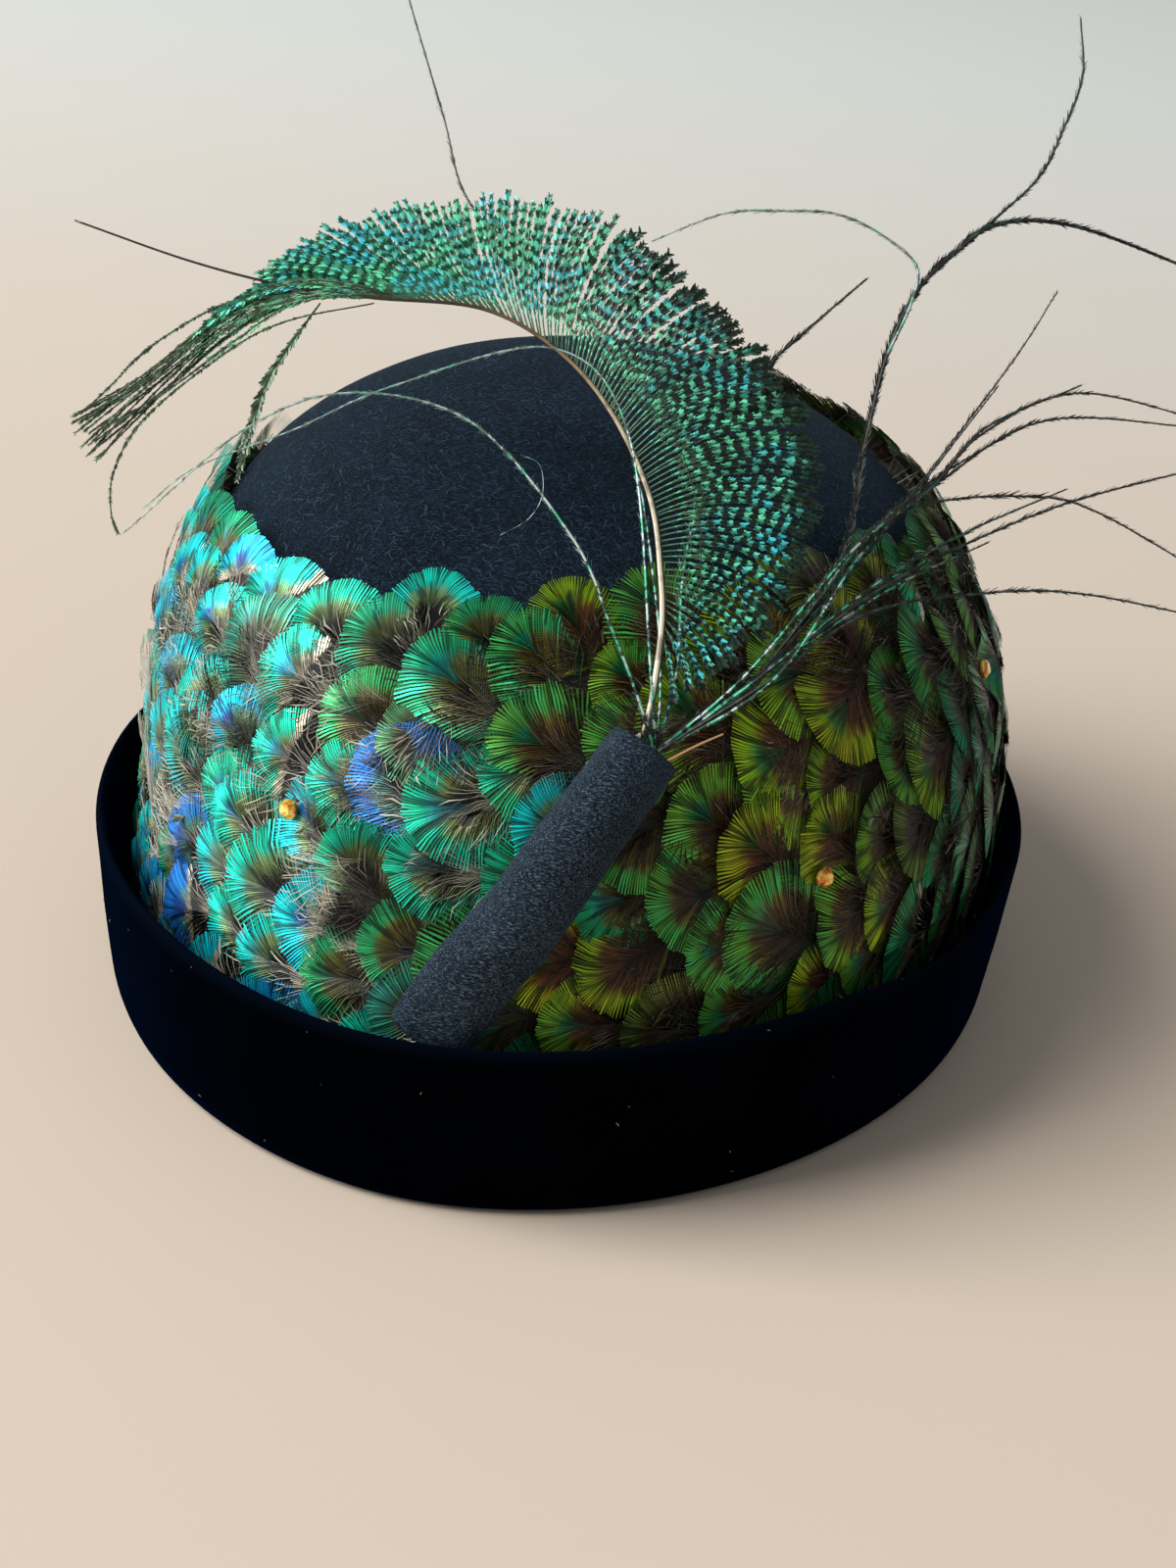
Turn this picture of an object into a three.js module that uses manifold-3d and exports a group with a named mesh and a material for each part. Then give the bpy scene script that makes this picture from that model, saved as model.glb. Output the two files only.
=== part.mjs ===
// Cocktail hat: a felt crown with a turned-up velvet cuff, a band of overlapping feathers,
// a rolled felt sleeve that holds a curled plume and loose herls, and five small cut stones.
// Millimetres, +Z up, the wearer's face towards -Y. The hat stands on its rim at z = 0.

import * as THREE from 'three';
import { mergeVertices } from 'three/addons/utils/BufferGeometryUtils.js';
import Module from 'manifold-3d';

const wasm = await Module();
wasm.setup();

// Driving dimensions.
const clearance = 0.3;
const degrees = Math.PI / 180;

// The head is an oval. Radii are drawn round at its mean size, then narrowed and deepened.
const head = { narrow: 0.94, deepen: 1.06, squareness: 1.9 };
const crown = { radius: 94.2, felt: 2, height: 127.5, shoulder: 32, fullness: 3.3, rings: 7, sides: 42 };
const lean = { bulge: 4, bulgeHeight: 45, topSide: -6, topBack: 15 };
const cuff = {
  wall: 2.6, bottomRadius: 104, waistRadius: 105.9, lipRadius: 107.5, height: 42, innerHeight: 14,
  restWidth: 4, side: 1, lipSide: 0.8, lipFront: 1.8, sides: 46,
};
// Where the cuff stands off or creases: azimuth from +X, spread of the wave, all at the lip.
const cuffWaves = [
  { azimuth: 168, spread: 34, flare: -2.4, rise: -1.5 },
  { azimuth: 204, spread: 20, flare: -0.6, rise: 0 },
  { azimuth: -24, spread: 11, flare: 2, rise: -1.6 },
  { azimuth: -92, spread: 40, flare: -0.4, rise: -1.6 },
  { azimuth: 70, spread: 34, flare: 0.8, rise: 1 },
];
const backing = { from: 16, thickness: 1.9, swell: 1.4, swellHeight: 50, swellSpread: 28 };
// Top edge of the feather band round the hat.
const bandEdge = [
  { azimuth: -180, height: 103 }, { azimuth: -150, height: 101 }, { azimuth: -123, height: 108 },
  { azimuth: -107, height: 106.5 }, { azimuth: -85, height: 111.5 }, { azimuth: -59, height: 110 },
  { azimuth: -15, height: 109 }, { azimuth: 15, height: 104 }, { azimuth: 60, height: 110 },
  { azimuth: 110, height: 111 }, { azimuth: 150, height: 106 }, { azimuth: 180, height: 103 },
];
// Heights where the rows of scales start; the last row ends at the band's top edge.
const bandRows = [backing.from, 31, 46, 60.5, 74.5, 87, 97];
const scale = { perRow: 29, rise: 2.6, roundness: 0.32, crest: 3.4, rings: [0.02, 0.3, 0.7, 0.98] };
// Across one scale, from its tip to its root: where each column lies and how far it is raised.
const scaleColumns = [
  { upTo: 1 / 3, share: 0, rise: 1, crest: 0.3 },
  { upTo: 2 / 3, share: 0.48, rise: 0.75, crest: 1 },
  { upTo: 1, share: 0.9, rise: 0, crest: 0 },
];
// Middle line of the sleeve, from its flattened foot behind the lip up to its open mouth.
const sleeveRows = [
  { x: 6, y: -107.4, z: 37, width: 16, depth: 5 },
  { x: 8.5, y: -107, z: 42, width: 16, depth: 6 },
  { x: 14, y: -105.6, z: 51.5, width: 15.6, depth: 9 },
  { x: 22.5, y: -102.2, z: 64.5, width: 15, depth: 12 },
  { x: 30.3, y: -95.2, z: 78.5, width: 14.4, depth: 13.6 },
  { x: 37.8, y: -83.4, z: 91.5, width: 14, depth: 14 },
];
const sleeve = { felt: 2.2, hollow: 18, facing: [0.12, -0.95, 0.3] };
const stone = { radius: 2.1, girdle: 0.5, height: 1.4, table: 1.2, facets: 10 };
const stonePlaces = [
  { azimuth: -111, height: 69 }, { azimuth: -42, height: 61 }, { azimuth: -2, height: 79 },
  { azimuth: 203, height: 44 }, { azimuth: 190, height: 92 },
];

// The plume has its own plane, square to it at the sleeve's mouth: across, up and towards the face.
const plume = { turn: 13, lean: 37, roll: 4 };
const quill = { radius: 1.2, tipRadius: 0.35, sides: 6, steps: 26, depth: 17, offset: 2.4 };
const quillRoute = [
  [0.5, 5, 0], [3, 21, 0], [3, 32, 0], [1, 47, 0], [-6, 63, 0], [-16, 75, 0], [-30, 83, 0],
  [-50, 85, 0], [-65, 87, 0], [-84, 92, 0], [-106, 100, 0],
];
const vane = { thickness: 0.8, herls: 44, rootFrom: 0.22, rootTo: 0.68, notch: 0.8 };
const vaneEdge = [
  [5, 9], [12, 14], [22, 24], [29, 38], [31, 54], [26, 67], [19, 77], [8, 88], [-3, 98],
  [-18, 103], [-32, 104], [-47, 102], [-65, 97],
];
const strand = { width: 1.3, steps: 11 };
// Locks that sweep forward from the plume's tip: [across, up, forward] at each stop.
const tipLocks = [
  [[-44, 86, 0], [-76, 91, 0], [-93, 81, 0], [-103, 69, 0]],
  [[-46, 85.5, 0], [-77, 86, 0], [-92, 74, 0], [-103, 60, 0]],
  [[-48, 85, 0], [-74, 81, 0], [-90, 69, 0], [-100, 55, 0]],
  [[-56, 85.5, 0], [-64, 79, 0], [-71, 67, 0], [-76, 52, 0]],
];
// Loose herls, named by where they go: [across, up, forward] at each stop.
const herls = {
  highRight: [[18, 13, 3], [38, 37, 0], [53, 50, -5], [63, 61, -6], [81, 69, -6], [107, 63, -6]],
  midRight: [[19, 12, 1], [40, 38, -3], [55, 52, -7], [76, 65, -10], [108, 64, -12]],
  straight: [[19, 12, 2], [38, 34, -2], [68, 74, -10], [79, 91, -12]],
  tall: [
    [20, 12, 0], [36, 36, -4], [42, 61, -12], [47, 80, -16], [53, 93, -18], [61, 102, -20],
    [70, 108, -20], [86, 108, -22], [111, 99, -24],
  ],
  tallTip: [
    [61, 102, -20], [70, 110, -20], [78, 118, -20], [83, 128, -20], [87, 139, -20], [87, 151, -20],
  ],
  arch: [
    [47, 80, -16], [52, 91, -17], [53, 99, -18], [45, 106, -18], [37, 109, -17], [28, 109, -16],
    [16, 108, -15], [2, 102, -14],
  ],
  lowRight: [[21, 13, 3], [43, 30, -1], [62, 41, -6], [81, 49, -8], [107, 56, -8]],
  droopRight: [[23, 12, 4], [40, 37, -1], [52, 47, -5], [72, 49, -6], [84, 46, -6], [104, 34, -6]],
  lowest: [[21, 11, 4], [40, 25, 0], [62, 30, -4], [80, 30, -4], [105, 25, -4]],
  behind: [[6, 15, -3], [11, 38, -5], [24, 77, -12], [44, 96, -18]],
  upright: [
    [3, 12, -3], [2, 31, -4], [-3, 60, -6], [-18, 89, -7], [-33, 107, -7], [-38, 124, -7], [-45, 148, -6],
  ],
  overFelt: [
    [-1, 8, 4], [-6, 21, 6], [-13, 37, 8], [-31, 58, 9], [-53, 64, 8], [-72, 58, 6], [-94, 39, 4],
  ],
  underTip: [[1, 14, 4], [-3, 58, 4], [-17, 74, 4], [-46, 67, 3], [-64, 59, 2], [-82, 52, 1], [-91, 45, 0]],
};
const herlHead = { radius: 2.2, length: 14, offset: 1.9, sides: 10 };

const finishes = {
  felt: { color: 0x1b2230, roughness: 0.95, metalness: 0 },
  velvet: { color: 0x07080c, roughness: 1, metalness: 0 },
  feather: { color: 0x1f6a4c, roughness: 0.5, metalness: 0.2 },
  sleeve: { color: 0x2a303c, roughness: 0.95, metalness: 0 },
  plume: { color: 0x17614f, roughness: 0.45, metalness: 0.3 },
  herl: { color: 0x3a4a38, roughness: 0.6, metalness: 0.1 },
  stone: { color: 0xd98420, roughness: 0.05, metalness: 0 },
};

// Small tools.
const signedPower = (value, power) => Math.sign(value) * Math.abs(value) ** power;
const limit = (value) => Math.min(Math.max(value, 0), 1);
const vectors = (rows) => rows.map(([x, y, z = 0]) => new THREE.Vector3(x, y, z));

function between(rows, key, at, name) {
  // Straight steps between the rows of a table, sorted by key.
  const next = rows.findIndex((row) => row[key] >= at);
  if (next <= 0) return rows[next === 0 ? 0 : rows.length - 1][name];
  const [low, high] = [rows[next - 1], rows[next]];
  return THREE.MathUtils.mapLinear(at, low[key], high[key], low[name], high[name]);
}

function closed(geometry) {
  // Joins shared corners and drops the flat triangles that a pole leaves.
  geometry.deleteAttribute('normal');
  geometry.deleteAttribute('uv');
  const merged = mergeVertices(geometry, 1e-4);
  const index = merged.index.array;
  const kept = [];
  for (let i = 0; i < index.length; i += 3) {
    const [a, b, c] = index.slice(i, i + 3);
    if (a !== b && b !== c && c !== a) kept.push(a, b, c);
  }
  merged.setIndex(kept);
  return merged;
}

function solid(geometry) {
  const shape = closed(geometry);
  return new wasm.Manifold(new wasm.Mesh({
    numProp: 3,
    vertProperties: Float32Array.from(shape.attributes.position.array),
    triVerts: Uint32Array.from(shape.index.array),
  }));
}

function fromSolid(body) {
  const { vertProperties, triVerts } = body.getMesh();
  const geometry = new THREE.BufferGeometry();
  geometry.setAttribute('position', new THREE.BufferAttribute(vertProperties, 3));
  geometry.setIndex(new THREE.BufferAttribute(triVerts, 1));
  return geometry;
}

function turned(profile, segments, place) {
  // Turns a profile about Z, then puts each point where place(angle, across, up) says.
  const points = profile.map(([x, y]) => new THREE.Vector2(x, y));
  const geometry = new THREE.LatheGeometry(points, segments);
  const position = geometry.attributes.position;
  for (let i = 0; i < position.count; i += 1) {
    const across = Math.hypot(position.getX(i), position.getZ(i));
    const angle = Math.atan2(-position.getZ(i), position.getX(i));
    position.setXYZ(i, ...place(angle, across, position.getY(i)));
  }
  return closed(geometry);
}

function along(curve, facing, width, depth) {
  // Lays a turned profile along a curve: across is a share of the half width, up a share of its length.
  return (angle, across, up) => {
    const at = limit(up);
    const tangent = curve.getTangentAt(at);
    const side = new THREE.Vector3().crossVectors(facing, tangent).normalize();
    const out = new THREE.Vector3().crossVectors(tangent, side);
    return curve.getPointAt(at)
      .addScaledVector(side, Math.cos(angle) * across * width(at) / 2)
      .addScaledVector(out, Math.sin(angle) * across * depth(at) / 2);
  };
}

function piece(name, geometry, finish) {
  const mesh = new THREE.Mesh(geometry, new THREE.MeshStandardMaterial(finish));
  mesh.name = name;
  return mesh;
}

// The head's form.
function domeRadius(height, offset) {
  const rise = limit((height - crown.shoulder) / (crown.height + offset - crown.shoulder));
  return (crown.radius + offset) * Math.sqrt(1 - rise ** crown.fullness);
}

function oval(angle, radius) {
  const power = 2 / head.squareness;
  return [
    head.narrow * radius * signedPower(Math.cos(angle), power),
    head.deepen * radius * signedPower(Math.sin(angle), power),
  ];
}

function headForm(angle, radius, height) {
  const [x, y] = oval(angle, radius);
  const rise = limit((height - crown.shoulder) / (crown.height - crown.shoulder));
  const side = lean.bulge * limit(height / lean.bulgeHeight) + (lean.topSide - lean.bulge) * rise ** 2;
  return [x + side, y + lean.topBack * rise, height];
}

function onDome(angle, height, offset) {
  return new THREE.Vector3(...headForm(angle, domeRadius(height, offset), height));
}

function domeFrame(angle, height, offset) {
  // Point on the dome with its way round, its way up and its outward way.
  const step = 0.01;
  const point = onDome(angle, height, offset);
  const round = onDome(angle + step, height, offset).sub(onDome(angle - step, height, offset)).normalize();
  const up = onDome(angle, height + step, offset).sub(onDome(angle, height - step, offset)).normalize();
  const out = new THREE.Vector3().crossVectors(round, up).normalize();
  up.crossVectors(out, round);
  return { point, round, up, out };
}

function domeLine(offset, count) {
  // Radius and height from the rim to the top, closer together over the shoulder.
  const top = crown.height + offset;
  const line = [[crown.radius + offset, 0], [crown.radius + offset, crown.shoulder / 2]];
  for (let i = 0; i <= count; i += 1) {
    const height = crown.shoulder + (top - crown.shoulder) * Math.sin((i / count) * Math.PI / 2);
    line.push([i === count ? 0 : domeRadius(height, offset), height]);
  }
  return line;
}

function crownShell() {
  const inside = domeLine(-crown.felt, crown.rings).reverse();
  return turned([...inside, ...domeLine(0, crown.rings)], crown.sides, headForm);
}

function cuffForm(angle, radius, height) {
  // The cuff opens towards its lip, with its own waves there.
  const share = height / cuff.height;
  let flare = 0;
  let rise = 0;
  for (const row of cuffWaves) {
    const away = (angle / degrees - row.azimuth + 540) % 360 - 180;
    const amount = Math.exp(-((away / row.spread) ** 2)) * share;
    flare += row.flare * amount;
    rise += row.rise * amount;
  }
  const outer = radius > crown.radius + clearance + 3;
  const [x, y] = oval(angle, radius + (outer ? flare : 0));
  if (!outer) return headForm(angle, radius, height);
  return [x + cuff.side + cuff.lipSide * share, y - cuff.lipFront * share, height + rise];
}

function cuffBand() {
  const inner = crown.radius + clearance;
  const leg = inner + cuff.wall - 0.2;
  const middle = (inner + cuff.bottomRadius) / 2;
  const half = cuff.restWidth / 2;
  const waist = cuff.height / 2;
  const profile = [
    [inner, cuff.innerHeight], [inner, 4], [inner + 1.2, 1.2], [middle - half, 0], [middle + half, 0],
    [cuff.bottomRadius - 0.9, 1.4], [cuff.bottomRadius, 4.5], [cuff.waistRadius, waist],
    [cuff.lipRadius, cuff.height - 2], [cuff.lipRadius - 0.9, cuff.height],
    [cuff.lipRadius - 2, cuff.height - 0.6], [cuff.waistRadius - cuff.wall, waist],
    [cuff.bottomRadius - cuff.wall, 5], [middle, 2.8], [leg, 4.4], [leg, cuff.innerHeight],
  ];
  return turned([...profile, profile[0]], cuff.sides, cuffForm);
}

// The feather band: a thin backing with overlapping scales, each raised at its tip.
function bandTop(angle) {
  return between(bandEdge, 'azimuth', angle / degrees, 'height');
}

function bandOffset(height) {
  // The feathers are fullest just above the cuff.
  const swell = Math.exp(-(((height - backing.swellHeight) / backing.swellSpread) ** 2));
  return clearance + backing.thickness + backing.swell * swell;
}

function bandHeight(angle, level) {
  // Level 0 is the band's foot, and each whole level after it starts the next row of scales.
  const row = Math.min(Math.floor(level), bandRows.length - 1);
  const high = row + 1 < bandRows.length ? bandRows[row + 1] : bandTop(angle);
  return THREE.MathUtils.lerp(bandRows[row], high, level - row);
}

function bandPlace(angle, across, level) {
  if (across < 1.5) return onDome(angle, bandHeight(angle, level), -crown.felt / 2).toArray();
  const row = Math.min(Math.floor(level), bandRows.length - 1);
  const turns = angle / (2 * Math.PI) + 0.25;
  const phase = THREE.MathUtils.euclideanModulo(turns * scale.perRow + row / 3 + 1 / 6, 1);
  const column = scaleColumns.find(({ upTo }) => phase < upTo);
  const fromMiddle = 2 * (level - row) - 1;
  const last = row === bandRows.length - 1;
  const round = last ? 0 : scale.roundness * fromMiddle ** 2;
  const plain = row === 0;
  const share = plain ? phase : column.share + round;
  const turnedAngle = angle + ((share - phase) * 2 * Math.PI) / scale.perRow;
  const swell = last ? 0.4 + 0.6 * (level - row) : 1 - 0.6 * fromMiddle ** 2;
  const rise = plain ? 0 : scale.rise * column.rise * swell;
  const crest = last ? scale.crest * column.crest * (level - row) : 0;
  const height = bandHeight(angle, level) + crest;
  return onDome(turnedAngle, height, bandOffset(height) + rise).toArray();
}

function featherBand() {
  // A thin backing, cut to the crown, whose outer face steps up to a round tip on each scale.
  const rows = bandRows.length;
  const inside = [[1, rows], [1, rows / 2], [1, 0]];
  const outside = [[2, 0]];
  for (let row = 1; row < rows; row += 1) {
    for (const share of scale.rings) outside.push([2, row + share]);
  }
  const band = solid(turned([...inside, ...outside, inside[0]], 3 * scale.perRow, bandPlace));
  return band.subtract(solid(turned([[0, 0], ...domeLine(clearance, crown.rings)], crown.sides, headForm)));
}

// The felt sleeve.
const sleeveLine = new THREE.CatmullRomCurve3(sleeveRows.map(({ x, y, z }) => new THREE.Vector3(x, y, z)));
const sleeveShares = sleeveRows.map((row, i) => ({ ...row, share: i / (sleeveRows.length - 1) }));

function sleeveTube(extra, hollow) {
  const size = (name) => (at) => between(sleeveShares, 'share', at, name) + 2 * extra;
  const place = along(sleeveLine, new THREE.Vector3(...sleeve.facing), size('width'), size('depth'));
  const inner = 1 - (2 * sleeve.felt) / sleeveRows.at(-1).width;
  const floor = 1 - sleeve.hollow / sleeveLine.getLength();
  // Across is a share of the half width, up a share of the length.
  const outside = [[0, 0], [0.85, 0], [1, 0.03], [1, 0.2], [1, 0.4], [1, 0.6], [1, 0.8], [1, 1]];
  const inside = [[inner, 1], [inner, (1 + floor) / 2], [inner, floor], [0, floor]];
  return turned([...outside, ...(hollow ? inside : [[0, 1]])], 16, place);
}

// The plume's plane at the sleeve's mouth.
const mouth = sleeveLine.getPointAt(1);
const turnAbout = (x, y, z, angle) => (
  new THREE.Quaternion().setFromAxisAngle(new THREE.Vector3(x, y, z), angle * degrees)
);
const plumeTurn = turnAbout(0, 0, 1, plume.turn)
  .multiply(turnAbout(1, 0, 0, 90 - plume.lean))
  .multiply(turnAbout(0, 0, 1, plume.roll));
const sleeveDown = sleeveLine.getTangentAt(1).negate().applyQuaternion(plumeTurn.clone().invert());
const sleeveSide = new THREE.Vector3().crossVectors(sleeveDown, new THREE.Vector3(0, 0, 1)).normalize();

function inSleeve(depth, offset) {
  // A place inside the sleeve: depth below the mouth, offset towards the plume's open side.
  return sleeveDown.clone().multiplyScalar(depth).addScaledVector(sleeveSide, -offset);
}

function looseHerl(stops) {
  // A plain three-sided strand along its stops.
  const corners = [90, 210, 330].map((turn) => turn * degrees);
  const radius = strand.width / 2;
  const section = new THREE.Shape(corners.map(
    (turn) => new THREE.Vector2(radius * Math.cos(turn), radius * Math.sin(turn)),
  ));
  const path = new THREE.CatmullRomCurve3(stops);
  return solid(new THREE.ExtrudeGeometry(section, {
    steps: strand.steps, bevelEnabled: false, extrudePath: path,
  }));
}

const quillLine = new THREE.CatmullRomCurve3([
  inSleeve(quill.depth, -quill.offset), inSleeve(quill.depth / 2, -quill.offset),
  inSleeve(0, -quill.offset), ...vectors(quillRoute),
]);

function curledPlume() {
  // The quill, its one-sided vane cut like a comb, and the locks at its tip.
  const thin = (at) => 2 * THREE.MathUtils.lerp(quill.radius, quill.tipRadius, at);
  const profile = [[0, 0]];
  for (let i = 0; i <= quill.steps; i += 1) profile.push([1, i / quill.steps]);
  profile.push([0, 1]);
  const facing = new THREE.Vector3(0, 0, 1);
  let body = solid(turned(profile, quill.sides, along(quillLine, facing, thin, thin)));

  const edge = new THREE.SplineCurve(vaneEdge.map(([x, y]) => new THREE.Vector2(x, y)));
  const roots = [];
  const tips = [];
  for (let i = 0; i <= vane.herls; i += 1) {
    const share = i / vane.herls;
    const at = quillLine.getPointAt(THREE.MathUtils.lerp(vane.rootFrom, vane.rootTo, share));
    const root = new THREE.Vector2(at.x, at.y);
    const tip = edge.getPointAt(share);
    if (i % 2 === 0) roots.push(root);
    tips.push(i % 2 === 0 ? tip : root.clone().lerp(tip, vane.notch));
  }
  const web = new THREE.ExtrudeGeometry(new THREE.Shape([...roots, ...tips.reverse()]), {
    depth: vane.thickness, bevelEnabled: false,
  });
  web.translate(0, 0, -vane.thickness / 2);
  body = body.add(solid(web));
  for (const stops of tipLocks) body = body.add(looseHerl(vectors(stops)));
  return body;
}

function herlSpray() {
  // Loose herls bound into one small head inside the sleeve.
  const axis = sleeveDown.clone().negate();
  const centre = inSleeve(quill.depth - herlHead.length / 2, herlHead.offset);
  const bound = new THREE.CylinderGeometry(
    herlHead.radius, herlHead.radius, herlHead.length, herlHead.sides,
  );
  bound.applyQuaternion(new THREE.Quaternion().setFromUnitVectors(new THREE.Vector3(0, 1, 0), axis));
  bound.translate(...centre.toArray());
  let body = solid(bound);
  for (const [name, stops] of Object.entries(herls)) {
    const branch = name === 'tallTip' || name === 'arch';
    const start = branch ? [] : [inSleeve(6, herlHead.offset), inSleeve(0, herlHead.offset)];
    body = body.add(looseHerl([...start, ...vectors(stops)]));
  }
  return body;
}

// Stones: flat backs, a girdle, slanted facets and a flat table.
function cutStone() {
  const profile = [
    [0, 0], [stone.radius, 0], [stone.radius, stone.girdle], [stone.table, stone.height], [0, stone.height],
  ];
  return turned(profile, stone.facets, (angle, across, up) => [
    across * Math.cos(angle), across * Math.sin(angle), up,
  ]);
}

function stoneSeat({ azimuth, height }) {
  // The stone's own frame: it sits just above the backing and faces outward.
  const { point, round, up, out } = domeFrame(azimuth * degrees, height, bandOffset(height) + 2 * clearance);
  return new THREE.Matrix4().makeBasis(round, up, out).setPosition(point);
}

// Assembly.
const hat = new THREE.Group();
hat.add(piece('crown_felt', crownShell(), finishes.felt));
hat.add(piece('velvet_cuff', cuffBand(), finishes.velvet));

let band = featherBand().subtract(solid(sleeveTube(clearance, false)));
stonePlaces.forEach((place, i) => {
  const seat = stoneSeat(place);
  const bore = new THREE.CylinderGeometry(stone.radius + clearance, stone.radius + clearance, 8, 16);
  bore.rotateX(Math.PI / 2);
  bore.translate(0, 0, 4 - clearance);
  band = band.subtract(solid(bore.applyMatrix4(seat)));
  hat.add(piece(`stone_${i + 1}`, cutStone().applyMatrix4(seat), finishes.stone));
});
hat.add(piece('feather_band', fromSolid(band), finishes.feather));
hat.add(piece('quill_sleeve', sleeveTube(0, true), finishes.sleeve));

const spray = new THREE.Group();
spray.position.copy(mouth);
spray.quaternion.copy(plumeTurn);
spray.add(piece('curled_plume', fromSolid(curledPlume()), finishes.plume));
spray.add(piece('herl_spray', fromSolid(herlSpray()), finishes.herl));
hat.add(spray);

// The origin is the middle of the whole hat's footprint, at the rim.
hat.updateMatrixWorld(true);
const bounds = new THREE.Box3().setFromObject(hat, true);
const middle = bounds.getCenter(new THREE.Vector3());
hat.position.set(-middle.x, -middle.y, -bounds.min.z);

export default hat;
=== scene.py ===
from math import copysign, cos, exp, hypot, pi, radians, sin, sqrt
from random import Random

import bmesh
import bpy
from mathutils import Matrix, Vector, noise


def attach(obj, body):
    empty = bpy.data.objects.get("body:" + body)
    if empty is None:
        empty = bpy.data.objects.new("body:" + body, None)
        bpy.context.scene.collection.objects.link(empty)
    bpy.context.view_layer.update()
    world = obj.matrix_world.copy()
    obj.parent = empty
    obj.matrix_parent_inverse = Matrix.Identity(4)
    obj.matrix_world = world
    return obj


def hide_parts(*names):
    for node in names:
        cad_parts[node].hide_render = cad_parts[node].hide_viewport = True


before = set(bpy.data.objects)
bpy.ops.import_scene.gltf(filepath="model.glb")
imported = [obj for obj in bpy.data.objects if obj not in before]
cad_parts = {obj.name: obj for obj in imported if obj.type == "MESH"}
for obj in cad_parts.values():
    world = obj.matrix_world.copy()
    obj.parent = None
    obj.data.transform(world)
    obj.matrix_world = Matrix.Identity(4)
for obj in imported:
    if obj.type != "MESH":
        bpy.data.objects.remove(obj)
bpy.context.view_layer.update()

# Cocktail hat: felt crown, velvet turn-up, a band of small feathers, a rolled felt sleeve with
# its curled plume and loose herls, and five amber stones. Metres, in the model's own axes.

mm = 0.001


# Node trees

class Wire:  # a socket that takes part in sums
    def __init__(self, tree, socket):
        self.tree = tree
        self.socket = socket

    def other(self, name):
        return Wire(self.tree, self.socket.node.outputs[name])

    def __add__(self, value):
        return self.tree.maths("ADD", self, value)

    def __radd__(self, value):
        return self.tree.maths("ADD", value, self)

    def __sub__(self, value):
        return self.tree.maths("SUBTRACT", self, value)

    def __rsub__(self, value):
        return self.tree.maths("SUBTRACT", value, self)

    def __mul__(self, value):
        return self.tree.maths("MULTIPLY", self, value)

    def __rmul__(self, value):
        return self.tree.maths("MULTIPLY", value, self)

    def __truediv__(self, value):
        return self.tree.maths("DIVIDE", self, value)

    def __pow__(self, value):
        return self.tree.maths("POWER", self, value)


class Tree:  # one node tree, for a material or for Geometry Nodes
    def __init__(self, nodeTree):
        self.nodeTree = nodeTree
        nodeTree.nodes.clear()

    def node(self, kind, settings=None, sockets=None, out=0):
        made = self.nodeTree.nodes.new(kind)
        for name, value in (settings or {}).items():
            if name == "stops":
                fillRamp(made.color_ramp, value)
            else:
                setattr(made, name, value)
        for name, value in (sockets or {}).items():
            if isinstance(value, Wire):
                self.nodeTree.links.new(value.socket, made.inputs[name])
            else:
                made.inputs[name].default_value = value
        return Wire(self, made.outputs[out]) if made.outputs else made

    def maths(self, operation, *values):
        return self.node("ShaderNodeMath", {"operation": operation}, dict(enumerate(values)))

    def vector(self, operation, *values, out=0):
        return self.node("ShaderNodeVectorMath", {"operation": operation}, dict(enumerate(values)), out)

    def scaled(self, value, factor):
        return self.node("ShaderNodeVectorMath", {"operation": "SCALE"}, {0: value, 3: factor})

    def joined(self, x, y, z):
        return self.node("ShaderNodeCombineXYZ", {}, {"X": x, "Y": y, "Z": z})

    def parts(self, value, out="X"):
        return self.node("ShaderNodeSeparateXYZ", {}, {"Vector": value}, out)

    def step(self, value, low, high):  # 0 under low, 1 over high, smooth between
        settings = {"interpolation_type": "SMOOTHSTEP"}
        return self.node("ShaderNodeMapRange", settings, {0: value, 1: low, 2: high})

    def mix(self, factor, first, second, way="MIX"):  # of two colours
        settings = {"data_type": "RGBA", "blend_type": way}
        return self.node("ShaderNodeMix", settings, {0: factor, 6: first, 7: second}, 2)

    def ramp(self, value, stops):
        return self.node("ShaderNodeValToRGB", {"stops": stops}, {"Fac": value}, "Color")

    def noise(self, where, scale, detail=2.0, rough=0.5, out="Fac"):
        sockets = {"Vector": where, "Scale": scale, "Detail": detail, "Roughness": rough}
        return self.node("ShaderNodeTexNoise", {}, sockets, out)

    def attribute(self, name):
        return self.node("ShaderNodeAttribute", {"attribute_name": name}, {}, "Fac")

    def attributes(self, *names):
        return [self.attribute(name) for name in names]

    def where(self):
        return self.node("ShaderNodeTexCoord", {}, {}, "Object")

    def bump(self, height, strength, distance):
        sockets = {"Height": height, "Strength": strength, "Distance": distance}
        return self.node("ShaderNodeBump", {}, sockets)

    def surface(self, sockets):
        return self.node("ShaderNodeBsdfPrincipled", {}, sockets)


def paint(code):  # a hex colour as linear light
    parts = [int(code[i:i + 2], 16) / 255 for i in (1, 3, 5)]
    return (*[c / 12.92 if c <= 0.04045 else ((c + 0.055) / 1.055) ** 2.4 for c in parts], 1.0)


def fillRamp(ramp, stops):
    while len(ramp.elements) > 1:
        ramp.elements.remove(ramp.elements[-1])
    for i, (place, colour) in enumerate(stops):
        stop = ramp.elements[0] if i == 0 else ramp.elements.new(place)
        stop.position = place
        stop.color = colour


def finish(name, build):
    made = bpy.data.materials.new(name)
    made.use_nodes = True
    tree = Tree(made.node_tree)
    tree.node("ShaderNodeOutputMaterial", {}, {"Surface": build(tree)})
    return made


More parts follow.
